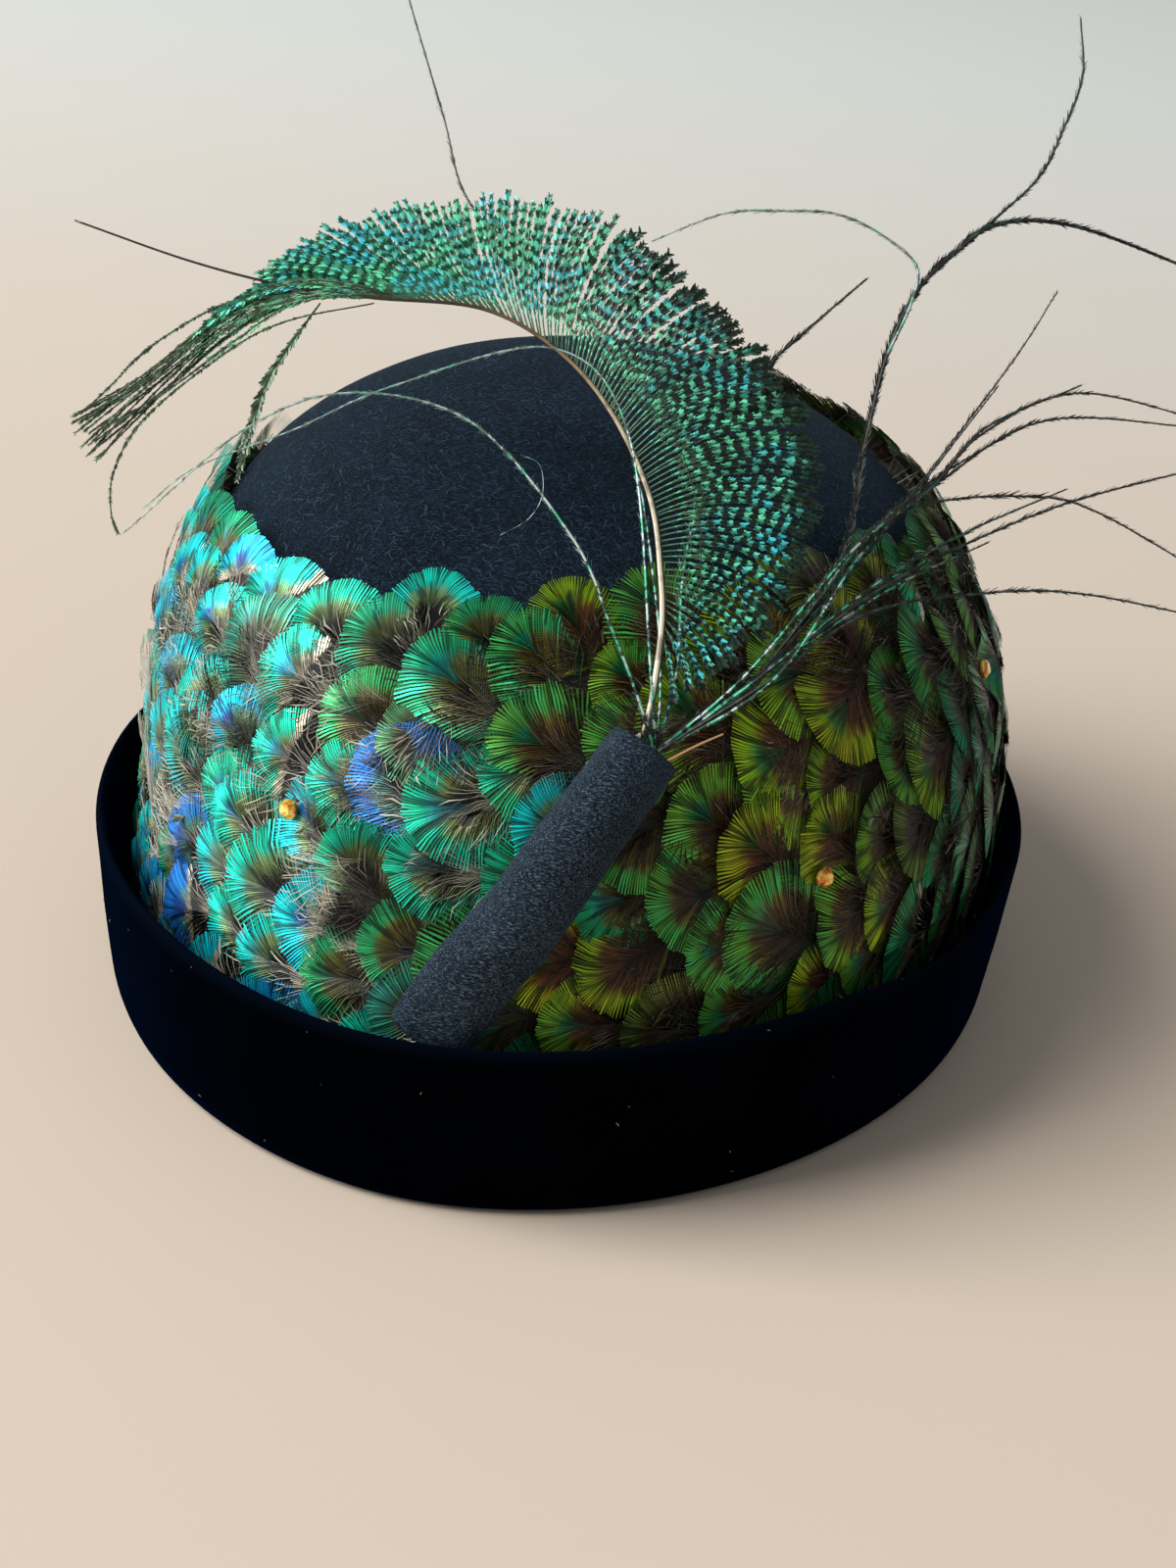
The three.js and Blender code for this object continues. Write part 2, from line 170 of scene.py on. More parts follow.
class GrowTree(Tree):  # a Geometry Nodes tree with named inputs
    def __init__(self, name, sizes):
        super().__init__(bpy.data.node_groups.new(name, "GeometryNodeTree"))
        face = self.nodeTree.interface
        face.new_socket("Geometry", in_out="OUTPUT", socket_type="NodeSocketGeometry")
        for label, kind in [("Geometry", "Geometry"), ("Material", "Material"), *sizes.items()]:
            face.new_socket(label, in_out="INPUT", socket_type="NodeSocket" + kind)
        self.start = self.node("NodeGroupInput", {}, {}, "Geometry")

    def size(self, name):
        return self.start.other(name)

    def grid(self, columns, rows):  # a flat unit grid
        return self.node("GeometryNodeMeshGrid", {}, {
            "Size X": 1.0, "Size Y": 1.0, "Vertices X": columns, "Vertices Y": rows})

    def gridPlace(self):  # X, with Y as another output
        return self.parts(self.position())

    def position(self):
        return self.node("GeometryNodeInputPosition")

    def named(self, name, kind="FLOAT"):
        return self.node("GeometryNodeInputNamedAttribute", {"data_type": kind}, {"Name": name})

    def keep(self, geometry, name, value):  # stores a number on the points
        return self.node("GeometryNodeStoreNamedAttribute", {"data_type": "FLOAT", "domain": "POINT"},
                         {"Geometry": geometry, "Name": name, "Value": value})

    def chance(self, low, high, seed, who=None):
        sockets = {2: low, 3: high, "Seed": seed}
        if who is not None:
            sockets["ID"] = who
        return self.node("FunctionNodeRandomValue", {"data_type": "FLOAT"}, sockets, 1)

    def moved(self, geometry, **sockets):
        names = {"Geometry": geometry, **{name.capitalize(): value for name, value in sockets.items()}}
        return self.node("GeometryNodeSetPosition", {}, names)

    def turnTo(self, outward, tipward):
        settings = {"primary_axis": "Z", "secondary_axis": "X"}
        return self.node("FunctionNodeAxesToRotation", settings,
                         {"Primary Axis": outward, "Secondary Axis": tipward})

    def placed(self, points, shape, rotation, size):
        sockets = {"Points": points, "Instance": shape, "Rotation": rotation, "Scale": size}
        return self.node("GeometryNodeInstanceOnPoints", {}, sockets)

    def together(self, *shapes):
        joint = self.node("GeometryNodeJoinGeometry")
        for shape in shapes:
            self.nodeTree.links.new(shape.socket, joint.socket.node.inputs[0])
        return joint

    def end(self, geometry):
        plain = self.node("GeometryNodeRealizeInstances", {}, {"Geometry": geometry})
        smooth = self.node("GeometryNodeSetShadeSmooth", {}, {"Geometry": plain})
        painted = self.node("GeometryNodeSetMaterial", {},
                            {"Geometry": smooth, "Material": self.size("Material")})
        self.node("NodeGroupOutput", {}, {"Geometry": painted})


def carrier(name, points, edges=(), **values):  # points or lines that a tree grows things on
    mesh = bpy.data.meshes.new(name)
    mesh.from_pydata(points, edges, [])
    for key, rows in values.items():
        if isinstance(rows[0], Vector):
            mesh.attributes.new(key, "FLOAT_VECTOR", "POINT").data.foreach_set(
                "vector", [part for row in rows for part in row])
        else:
            mesh.attributes.new(key, "FLOAT", "POINT").data.foreach_set("value", rows)
    return linked(name, mesh)


def linked(name, mesh):
    made = bpy.data.objects.new(name, mesh)
    bpy.context.scene.collection.objects.link(made)
    return made


def grow(name, source, tree, values):
    modifier = source.modifiers.new("grow", "NODES")
    modifier.node_group = tree.nodeTree
    for item in tree.nodeTree.interface.items_tree:
        if item.in_out == "INPUT" and item.name in values:
            modifier[item.identifier] = values[item.name]
    bpy.context.view_layer.update()
    grown = bpy.data.meshes.new_from_object(source.evaluated_get(bpy.context.evaluated_depsgraph_get()))
    source.modifiers.clear()
    made = linked(name, grown)
    print(name, len(grown.polygons), "faces")
    return made


def settle(piece, slot, *nodes):  # hands a finished piece to the frame
    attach(piece, "root")
    if nodes:
        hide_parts(*nodes)
    return piece


# The head's form

rimPoints = [v.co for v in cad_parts["crown_felt"].data.vertices if v.co.z < 0.1 * mm]
axisX = (min(p.x for p in rimPoints) + max(p.x for p in rimPoints)) / 2
axisY = (min(p.y for p in rimPoints) + max(p.y for p in rimPoints)) / 2
hatAxis = Vector((axisX, axisY, 0))

head = {
    "narrow": 0.94, "deepen": 1.06, "squareness": 1.9, "radius": 94.2, "height": 127.5,
    "shoulder": 32, "fullness": 3.3, "bulge": 4, "bulgeHeight": 45, "topSide": -6, "topBack": 15,
}  # millimetres, as the crown was drawn


def limit(value, low=0.0, high=1.0):
    return min(max(value, low), high)


def headRadius(height, offset):
    rise = limit((height - head["shoulder"]) / (head["height"] + offset - head["shoulder"]))
    return (head["radius"] + offset) * sqrt(1 - rise ** head["fullness"])


def oval(angle, radius):
    power = 2 / head["squareness"]
    across = copysign(abs(cos(angle)) ** power, cos(angle))
    along = copysign(abs(sin(angle)) ** power, sin(angle))
    return head["narrow"] * radius * across, head["deepen"] * radius * along


def headPlace(angle, radius, height):
    x, y = oval(angle, radius)
    rise = limit((height - head["shoulder"]) / (head["height"] - head["shoulder"]))
    side = head["bulge"] * limit(height / head["bulgeHeight"])
    side += (head["topSide"] - head["bulge"]) * rise ** 2
    return hatAxis + Vector((x + side, y + head["topBack"] * rise, height)) * mm


def onHead(angle, height, offset):
    return headPlace(angle, headRadius(height, offset), height)


def headFrame(angle, height, offset):  # a point with its ways round, up and out
    step = 0.01
    place = onHead(angle, height, offset)
    around = (onHead(angle + step, height, offset) - onHead(angle - step, height, offset)).normalized()
    up = (onHead(angle, height + step, offset) - onHead(angle, height - step, offset)).normalized()
    out = around.cross(up).normalized()
    return place, around, out.cross(around), out


def between(rows, at):  # straight steps along rows of (place, value)
    for (low, first), (high, second) in zip(rows, rows[1:]):
        if at <= high:
            return first + (second - first) * limit((at - low) / (high - low))
    return rows[-1][1]


def smoothLine(stops, count):  # a round curve through the stops, at even steps
    pieces = 16
    stops = [Vector(stop) for stop in stops]
    ends = [stops[0] * 2 - stops[1], *stops, stops[-1] * 2 - stops[-2]]
    fine = []
    for a, b, c, d in zip(ends, ends[1:], ends[2:], ends[3:]):
        for i in range(pieces):
            t = i / pieces
            fine.append(0.5 * (2 * b + (c - a) * t + (2 * a - 5 * b + 4 * c - d) * t * t
                               + (3 * b - a - 3 * c + d) * t ** 3))
    fine.append(stops[-1])
    reach = [0.0]
    for first, second in zip(fine, fine[1:]):
        reach.append(reach[-1] + (second - first).length)
    line = []
    place = 0
    for i in range(count):
        goal = reach[-1] * i / (count - 1)
        while place < len(fine) - 2 and reach[place + 1] < goal:
            place += 1
        share = (goal - reach[place]) / max(reach[place + 1] - reach[place], 1e-9)
        line.append(fine[place].lerp(fine[place + 1], limit(share)))
    return line


def directions(line):
    last = len(line) - 1
    return [(line[min(i + 1, last)] - line[max(i - 1, 0)]).normalized() for i in range(last + 1)]


def skin(name, rings, look, closedLoop=False):  # a mesh over rings of points
    tiny = 1e-7
    mesh = bpy.data.meshes.new(name)
    count = len(rings[0])
    faces = []
    for row in range(len(rings) - (0 if closedLoop else 1)):
        upper = (row + 1) % len(rings)
        for i in range(count):
            after = (i + 1) % count
            faces.append((row * count + i, row * count + after, upper * count + after, upper * count + i))
    mesh.from_pydata([point for ring in rings for point in ring], [], faces)
    work = bmesh.new()
    work.from_mesh(mesh)
    bmesh.ops.remove_doubles(work, verts=work.verts, dist=tiny)
    bmesh.ops.dissolve_degenerate(work, edges=work.edges, dist=tiny)
    bmesh.ops.recalc_face_normals(work, faces=work.faces)
    for face in work.faces:
        face.smooth = True
    work.to_mesh(mesh)
    work.free()
    mesh.materials.append(look)
    print(name, len(mesh.polygons), "faces")
    return linked(name, mesh)


# Felt

feltLook = {
    "crown": {"ground": "#02060b", "worn": "#081722", "fibre": "#36597a", "strokes": 0.55},
    "sleeve": {"ground": "#060b11", "worn": "#1a2733", "fibre": "#7893a8", "strokes": 0.6},
    "strokeWidth": 0.18 * mm, "strokeLength": 1.2 * mm,
    "strokeTurns": [(0.4, 0.2, 0.3), (1.3, 0.9, 1.5), (2.2, 2.0, 2.7)],
    "clouds": 60.0, "grain": 1400.0, "bump": 0.25 * mm, "sheen": 0.035, "sheenTint": "#6a9cc0",
}


def fibreStrokes(tree, where):  # short lines that lie every way
    thin = 1 / feltLook["strokeWidth"]
    marks = None
    for turn in feltLook["strokeTurns"]:
        lay = tree.node("ShaderNodeMapping", {}, {
            "Vector": where, "Rotation": turn, "Scale": (1 / feltLook["strokeLength"], thin, thin)})
        mark = tree.step(tree.noise(lay, 1.0, 1.0), 0.6, 0.74)
        marks = mark if marks is None else tree.maths("MAXIMUM", marks, mark)
    return marks


def felt(row):
    def build(tree):
        where = tree.where()
        strokes = fibreStrokes(tree, where)
        cloud = tree.step(tree.noise(where, feltLook["clouds"], 5.0, 0.6), 0.36, 0.64)
        grain = tree.noise(where, feltLook["grain"], 3.0)
        rubbed = cloud * 0.5 + tree.step(grain, 0.38, 0.62) * 0.5
        base = tree.mix(rubbed, paint(row["ground"]), paint(row["worn"]))
        colour = tree.mix(strokes * row["strokes"], base, paint(row["fibre"]))
        return tree.surface({
            "Base Color": colour, "Roughness": 0.95, "Specular IOR Level": 0.15,
            "Normal": tree.bump(grain * 0.5 + strokes * 0.5 + cloud * 0.4, 0.7, feltLook["bump"]),
            "Sheen Weight": feltLook["sheen"], "Sheen Roughness": 0.5,
            "Sheen Tint": paint(feltLook["sheenTint"])})
    return build


crownFelt = finish("navy wool felt", felt(feltLook["crown"]))
sleeveFelt = finish("charcoal wool felt", felt(feltLook["sleeve"]))


def looseFibre(light, dark):
    def build(tree):
        return tree.surface({
            "Base Color": tree.mix(tree.attribute("tint"), paint(dark), paint(light)),
            "Roughness": 0.8, "Specular IOR Level": 0.3})
    return build


napTree = GrowTree("felt_nap", {
    "Density": "Float", "Length": "Float", "Width": "Float", "Curl": "Float", "Lift": "Float",
    "Seed": "Int"})


def buildNap(tree):  # short curled fibres scattered over a surface
    grid = tree.grid(4, 2)
    place = tree.gridPlace()
    along = place + 0.5
    hump = along * (1 - along)
    length = tree.size("Length")
    curled = place.other("Y") * tree.size("Width") + hump * length * tree.size("Curl")
    raised = hump * tree.size("Lift") * 4
    fibre = tree.moved(grid, position=tree.joined((along - 0.5) * length, curled, raised))
    spots = tree.node("GeometryNodeDistributePointsOnFaces", {}, {
        "Mesh": tree.start, "Density": tree.size("Density") * tree.named("nap"),
        "Seed": tree.size("Seed")})
    lean = tree.node("FunctionNodeRandomValue", {"data_type": "FLOAT_VECTOR"}, {
        0: (-1.0, -1.0, -1.0), 1: (1.0, 1.0, 1.0), "Seed": 5})
    spread = tree.chance(0.5, 1.5, 7)
    marked = tree.keep(spots, "tint", tree.chance(0.0, 1.0, 9))
    tree.end(tree.placed(marked, fibre, tree.turnTo(spots.other("Normal"), lean), spread))


buildNap(napTree)


def napOn(name, piece, values, amount, look):
    piece.data.attributes.new("nap", "FLOAT", "POINT").data.foreach_set(
        "value", [amount(v.co, v.normal) for v in piece.data.vertices])
    fibres = grow(name, piece, napTree, {**values, "Material": look})
    piece.data.attributes.remove(piece.data.attributes["nap"])
    return fibres


# Crown

crownShape = {
    "felt": 2.0, "sides": 144, "steps": 40, "uneven": 0.35, "unevenSize": 26 * mm,
    "calmHeight": 40, "calmRadius": 12,  # the form is even under this height and near the top
    "nap": {"Density": 420000.0, "Length": 1.5 * mm, "Width": 0.04 * mm, "Curl": 0.4,
            "Lift": 0.1 * mm, "Seed": 3},
    "napFrom": 88 * mm, "napFade": 8 * mm, "napColours": ("#5c7f9c", "#0a131b"),
}


def headLine(offset, steps):
    top = head["height"] + offset
    line = [(head["radius"] + offset, head["shoulder"] * i / 4) for i in range(4)]
    for i in range(steps + 1):
        height = head["shoulder"] + (top - head["shoulder"]) * sin(pi / 2 * i / steps)
        line.append((0 if i == steps else headRadius(height, offset), height))
    return line


def headRings(profile, sides, dent=0.0):
    rings = []
    for radius, height in profile:
        ring = []
        for i in range(sides):
            place = headPlace(2 * pi * i / sides, radius, height)
            wave = noise.noise(place / crownShape["unevenSize"])
            way = Vector((place.x - hatAxis.x, place.y - hatAxis.y, place.z * 0.8)).normalized()
            calm = limit(height / crownShape["calmHeight"])
            ring.append(place + way * wave * dent * mm * calm * limit(radius / crownShape["calmRadius"]))
        rings.append(ring)
    return rings


def makeCrown():
    c = crownShape
    profile = [*headLine(-c["felt"], c["steps"])[::-1], *headLine(0, c["steps"])]
    rings = headRings(profile, c["sides"], c["uneven"])
    crown = settle(skin("felt_crown", rings, crownFelt, True), "crown_felt", "crown_felt")

    def amount(place, normal):
        outside = normal.z > -0.2
        return limit((place.z - c["napFrom"]) / c["napFade"]) if outside else 0.0

    look = finish("light felt fibres", looseFibre(*c["napColours"]))
    settle(napOn("crown_nap", crown, c["nap"], amount, look), "crown_felt")


makeCrown()


# Velvet turn-up

cuffShape = {
    "wall": 2.6, "bottom": 104, "waist": 105.9, "lip": 107.5, "height": 42, "innerHeight": 14,
    "restWidth": 4, "side": 1, "lipSide": 0.8, "lipFront": 1.8, "sides": 200, "clearance": 0.3,
    "innerLeg": 3, "rounding": 1.1, "faceLength": 3,
    "uneven": 0.22, "unevenSize": 30 * mm, "calmHeight": 10,
    "lint": {"Density": 1500.0, "Length": 0.7 * mm, "Width": 0.16 * mm, "Curl": 0.5,
             "Lift": 0.12 * mm, "Seed": 8},
    "lintColours": ("#8f8c86", "#3a3d44"), "lintInside": 0.3,
}
cuffWaves = [
    {"azimuth": 168, "spread": 34, "flare": -2.4, "rise": -1.5},
    {"azimuth": 204, "spread": 20, "flare": -0.6, "rise": 0},
    {"azimuth": -24, "spread": 11, "flare": 2, "rise": -1.6},
    {"azimuth": -92, "spread": 40, "flare": -0.4, "rise": -1.6},
    {"azimuth": 70, "spread": 34, "flare": 0.8, "rise": 1},
]


velvetLook = {
    "pile": "#000102", "brushed": "#020408", "edge": "#07101e", "tips": "#020203",
    "edgeFrom": 36.5 * mm, "edgeTo": 41 * mm, "brush": 22.0, "grain": 2600.0,
    "bump": 0.3 * mm, "sheen": 0.09, "sheenTint": "#2658a8",
}


def velvet(tree):
    v = velvetLook
    where = tree.where()
    brushed = tree.step(tree.noise(where, v["brush"], 3.0), 0.35, 0.75)
    pile = tree.noise(where, v["grain"], 2.0)
    edge = tree.step(tree.parts(where, "Z"), v["edgeFrom"], v["edgeTo"])  # paler at the lip: painted sheen where the pile parts over the fold
    base = tree.mix(brushed, paint(v["pile"]), paint(v["brushed"]))
    base = tree.mix(edge * 0.6, base, paint(v["edge"]))
    return tree.surface({
        "Base Color": tree.mix(pile * 0.5, base, paint(v["tips"])), "Roughness": 0.9,
        "Specular IOR Level": 0.0, "Normal": tree.bump(pile * 0.6 + brushed, 0.5, v["bump"]),
        "Sheen Weight": v["sheen"], "Sheen Roughness": 0.3, "Sheen Tint": paint(v["sheenTint"])})


def cuffPlace(angle, radius, height):
    c = cuffShape
    share = height / c["height"]
    flare = rise = 0.0
    for wave in cuffWaves:
        away = (angle * 180 / pi - wave["azimuth"] + 540) % 360 - 180
        amount = exp(-(away / wave["spread"]) ** 2) * share
        flare += wave["flare"] * amount
        rise += wave["rise"] * amount
    if radius <= head["radius"] + c["clearance"] + c["innerLeg"]:  # this leg follows the crown
        return headPlace(angle, radius, height)
    x, y = oval(angle, radius + flare)
    place = hatAxis + Vector((x + c["side"] + c["lipSide"] * share,
                              y - c["lipFront"] * share, height + rise)) * mm
    soft = noise.noise(place / c["unevenSize"]) * c["uneven"] * mm * limit(height / c["calmHeight"])
    return place + Vector((cos(angle), sin(angle), 0)) * soft


def makeCuff():
    c = cuffShape
    inner = head["radius"] + c["clearance"]
    leg = inner + c["wall"] - 0.2
    middle = (inner + c["bottom"]) / 2
    half = c["restWidth"] / 2
    waist = c["height"] / 2
    stops = [  # radius and height round the folded section
        (inner, c["innerHeight"]), (inner, 4), (inner + 1.2, 1.2), (middle - half, 0), (middle + half, 0),
        (c["bottom"] - 0.9, 1.4), (c["bottom"], 4.5), (c["waist"], waist), (c["lip"], c["height"] - 2),
        (c["lip"] - 0.9, c["height"]), (c["lip"] - 2, c["height"] - 0.6), (c["waist"] - c["wall"], waist),
        (c["bottom"] - c["wall"], 5), (middle, 2.8), (leg, 4.4), (leg, c["innerHeight"]),
    ]
    rounded = []
    for first, second, third in zip(stops[-1:] + stops[:-1], stops, stops[1:] + stops[:1]):
        first, second, third = Vector(first), Vector(second), Vector(third)
        reach = min(c["rounding"], (second - first).length / 2, (third - second).length / 2)
        before = second + (first - second).normalized() * reach
        after = second + (third - second).normalized() * reach
        for share in (0, 0.33, 0.67, 1):
            rounded.append(before.lerp(second, share).lerp(second.lerp(after, share), share))
    profile = []
    for point, following in zip(rounded, rounded[1:] + rounded[:1]):
        steps = max(1, round((following - point).length / c["faceLength"]))
        profile += [point.lerp(following, i / steps) for i in range(steps)]
    angles = [(2 * pi * i / c["sides"] + pi) % (2 * pi) - pi for i in range(c["sides"])]
    rings = [[cuffPlace(angle, radius, max(height, 0)) for angle in angles] for radius, height in profile]
    turnup = skin("velvet_turnup", rings, finish("black velvet", velvet), True)
    cuff = settle(turnup, "cuff_velvet", "velvet_cuff")

    def amount(place, normal):
        return 1.0 if normal.xy.dot((place - hatAxis).xy) > 0 else c["lintInside"]

    look = finish("lint", looseFibre(*c["lintColours"]))
    settle(napOn("velvet_lint", cuff, c["lint"], amount, look), "cuff_velvet")


makeCuff()


# Feather band

bandShape = {
    "from": 15.0, "ground": 1.5, "clearance": 0.3, "sides": 160, "rows": 26, "hem": 6, "hemWave": 1.6,
    "swell": 1.4, "swellHeight": 50, "swellSpread": 28,
}
# How the feathers lie in rows from the cuff to the band's edge.
layShape = {
    "seed": 41, "rows": 12, "from": 27.0, "gap": 12.6, "width": 14.4, "stagger": 0.37, "climb": 0.5,
    "lastGap": 0.55, "over": 1.5, "heightJitter": 3.0, "turnJitter": 0.03, "sizes": (0.78, 1.16),
    "rise": 0.4, "wobble": radians(20), "uprightWithin": 22,
}
bandEdge = [
    (-180, 103), (-150, 101), (-123, 108), (-107, 106.5), (-85, 111.5), (-59, 110),
    (-15, 109), (15, 104), (60, 110), (110, 111), (150, 106), (180, 103),
]
# How far under the band's edge the feathers are seated, so that their tips reach it.
edgeBacks = [(-180, 8), (80, 7), (105, 15), (165, 14), (180, 8)]
# How far round to blue each side of the hat is, from 0 olive to 1 violet. This is the feathers' own colour
# with painted iridescence: bluer on the lit left, olive on the shaded right.
bandTints = [
    (-180, 0.62), (-150, 0.64), (-125, 0.63), (-108, 0.59), (-92, 0.45), (-74, 0.24), (-58, 0.14),
    (-45, 0.12), (-30, 0.15), (-12, 0.3), (10, 0.36), (60, 0.4), (110, 0.4), (150, 0.52), (180, 0.6),
]
tintShape = {
    "spread": 0.1, "greenFrom": 78, "greenOver": 12, "green": 0.1,
    "middle": -70, "middleWidth": 16, "middleFrom": 52, "middleOver": 16, "middleBlue": 0.1,
    "blue": 0.84, "blueReach": 8, "blueFlat": 1.7,
}
blueFeathers = [
    {"azimuth": -116, "height": 83}, {"azimuth": -92, "height": 77}, {"azimuth": -128, "height": 50},
]
stonePlaces = [
    {"azimuth": -111, "height": 69}, {"azimuth": -42, "height": 61}, {"azimuth": -2, "height": 79},
    {"azimuth": 203, "height": 44}, {"azimuth": 190, "height": 92},
]
stoneShape = {"rise": 2.8, "clearance": 1.3 * mm, "from": 3 * mm, "to": 8 * mm}  # where feathers lie flat
featherKinds = {
    "round": {"share": 0.5, "barbs": 78, "radius": 11.7, "half": 112, "rootTip": 0.3, "rootBack": 1.05,
              "cover": 0.92, "point": 0.35, "lift": (0.5, 3.6), "ruffle": 0.8, "seed": 11},
    "wide": {"share": 0.28, "barbs": 84, "radius": 12.3, "half": 126, "rootTip": 0.12, "rootBack": 0.9,
             "cover": 0.92, "point": 0.35, "lift": (0.5, 3.8), "ruffle": 1.3, "seed": 12},
    "narrow": {"share": 0.22, "barbs": 62, "radius": 12.2, "half": 94, "rootTip": 0.42, "rootBack": 1.25,
               "cover": 0.9, "point": 0.45, "lift": (0.6, 4.2), "ruffle": 2.4, "seed": 13},
}
downShape = {"back": 6.0, "fan": {
    "Barbs": 60, "Steps": 6, "Radius": 11.4 * mm, "Half angle": radians(160), "Root tip": -0.1,
    "Root back": 0.9, "Cover": 0.11, "Point": 0.6, "Low lift": 1.2 * mm, "High lift": 2.9 * mm,
    "Ruffle": 7 * mm, "Curl": 760.0, "Seed": 23}}
tuftShape = {"seed": 77, "sizes": (0.4, 0.85), "stack": (0.3, 1.8)}
frayShape = {"gap": 3.4, "above": 1.5, "jitter": 2, "wobble": 0.5, "mood": 0.3,
             "turns": [(2, 72, 0.2), (180, 204, 0.75)]}  # from, to and tint
frayFan = {"Cover": 0.3, "Half angle": radians(100)}
wispFan = {"Barbs": 22, "Half angle": radians(62), "Cover": 0.12, "Low lift": 2.8 * mm,
           "High lift": 4.6 * mm}
wispRows = [
    {"count": 36, "turns": (-172, -84), "heights": (45, 92), "tint": 0.62},
    {"count": 14, "turns": (-64, 26), "heights": (46, 98), "tint": 0.3},
]


def climb(angle, goal, edge):  # up the head to a row, with what is left of the way there
    height, walked = layShape["from"], 0.0
    last = onHead(angle, height, 1)
    while walked < goal and height < edge:
        height += layShape["climb"]
        here = onHead(angle, height, 1)
        walked += (here - last).length
        last = here
    return height, goal - walked


def bandTop(turn):  # where the feathers' roots end
    return between(bandEdge, turn) - between(edgeBacks, turn)


def featherTint(turn, spot, stray):
    t = tintShape
    tint = between(bandTints, turn) + stray - t["green"] * limit((spot - t["greenFrom"]) / t["greenOver"])
    centre = exp(-((turn - t["middle"]) / t["middleWidth"]) ** 2)
    tint += t["middleBlue"] * centre * limit((spot - t["middleFrom"]) / t["middleOver"])
    for blue in blueFeathers:
        if hypot((turn - blue["azimuth"]) * t["blueFlat"], spot - blue["height"]) < t["blueReach"]:
            tint = t["blue"]
    return limit(tint)


def featherCarrier():
    b = layShape
    chance = Random(b["seed"])
    places = []
    lists = {"tipward": [], "outward": [], "size": [], "tint": [], "mood": [], "stack": [], "pick": []}
    small = 0.01
    for row in range(b["rows"]):
        angle = -pi + row * b["stagger"]
        stop = angle + 2 * pi
        while angle < stop:
            turn = (angle * 180 / pi + 180) % 360 - 180
            edge = bandTop(turn)
            height, left = climb(angle, row * b["gap"] * mm, edge)
            inside = left <= b["gap"] * mm * b["lastGap"]
            level = height if inside else edge
            around = (onHead(angle + small, level, 1) - onHead(angle - small, level, 1)).length
            if inside:
                spot = height + chance.uniform(-b["heightJitter"], b["heightJitter"])
                spot = min(spot, edge + b["over"])
                aim = angle + chance.uniform(-b["turnJitter"], b["turnJitter"])
                offset = bandShape["clearance"] + bandShape["ground"] + b["rise"]
                place, roundWay, up, out = headFrame(aim, spot, offset)
                near = limit(1 - (edge - spot) / b["uprightWithin"])
                tilt = 0.05 + 0.95 * near ** 2 + chance.gauss(0, b["wobble"])
                places.append(place)
                lists["tipward"].append(-roundWay * cos(tilt) + up * sin(tilt))
                lists["outward"].append(out)
                lists["size"].append(chance.uniform(*b["sizes"]))
                lists["tint"].append(featherTint(turn, spot, chance.gauss(0, tintShape["spread"])))
                for name in ("mood", "stack", "pick"):
                    lists[name].append(chance.random())
            angle += b["width"] * mm / (around / (2 * small))
    print("feathers", len(places))
    return places, lists


def tuftCarrier(spots, chance):  # a tuft of down at each spot: turn, height, tilt, tint and mood
    places = []
    lists = {"tipward": [], "outward": [], "size": [], "tint": [], "mood": [], "stack": []}
    offset = bandShape["clearance"] + bandShape["ground"] + 1
    for turn, height, tilt, tint, mood in spots:
        place, roundWay, up, out = headFrame(radians(turn), height, offset)
        places.append(place)
        lists["tipward"].append(-roundWay * cos(tilt) + up * sin(tilt))
        lists["outward"].append(out)
        lists["size"].append(chance.uniform(*tuftShape["sizes"]))
        lists["tint"].append(tint)
        lists["mood"].append(mood)
        lists["stack"].append(chance.uniform(*tuftShape["stack"]))
    return places, lists


def fraySpots(chance):  # tufts that stand along parts of the band's edge
    f = frayShape
    for first, last, tint in f["turns"]:
        for step in range(int((last - first) / f["gap"])):
            turn = first + step * f["gap"]
            top = bandTop((turn + 180) % 360 - 180)
            height = top + f["above"] + chance.uniform(-f["jitter"], f["jitter"])
            yield turn, height, radians(90) + chance.gauss(0, f["wobble"]), tint, f["mood"]


def wispSpots(chance):  # tufts that have come out over the feathers
    for row in wispRows:
        for i in range(row["count"]):
            turn = chance.uniform(*row["turns"])
            height = min(chance.uniform(*row["heights"]), bandTop(turn) - 4)
            yield turn, height, chance.gauss(-0.2, 0.7), row["tint"], chance.random()


fanTree = GrowTree("feather_fan", {
    "Form": "Object", "Stones": "Object", "Barbs": "Int", "Steps": "Int", "Radius": "Float",
    "Half angle": "Float", "Root tip": "Float", "Root back": "Float", "Cover": "Float",
    "Point": "Float", "Low lift": "Float", "High lift": "Float", "Ruffle": "Float", "Curl": "Float",
    "Stone clearance": "Float", "Seed": "Int"})
barbShape = {
    "bunches": 2.6, "bunchTurn": 0.22, "bunchReach": 0.14, "shortest": 0.96, "uneven": 0.035,
    "rootCurve": 1.3, "bendTipward": 0.62, "bendAside": 0.4, "rootWidth": 0.3, "pointFrom": 0.75,
    "liftCurve": 1.2, "twist": 0.05 * mm, "liftJitter": 0.25 * mm, "droop": 0.35, "stackGap": 0.9,
}


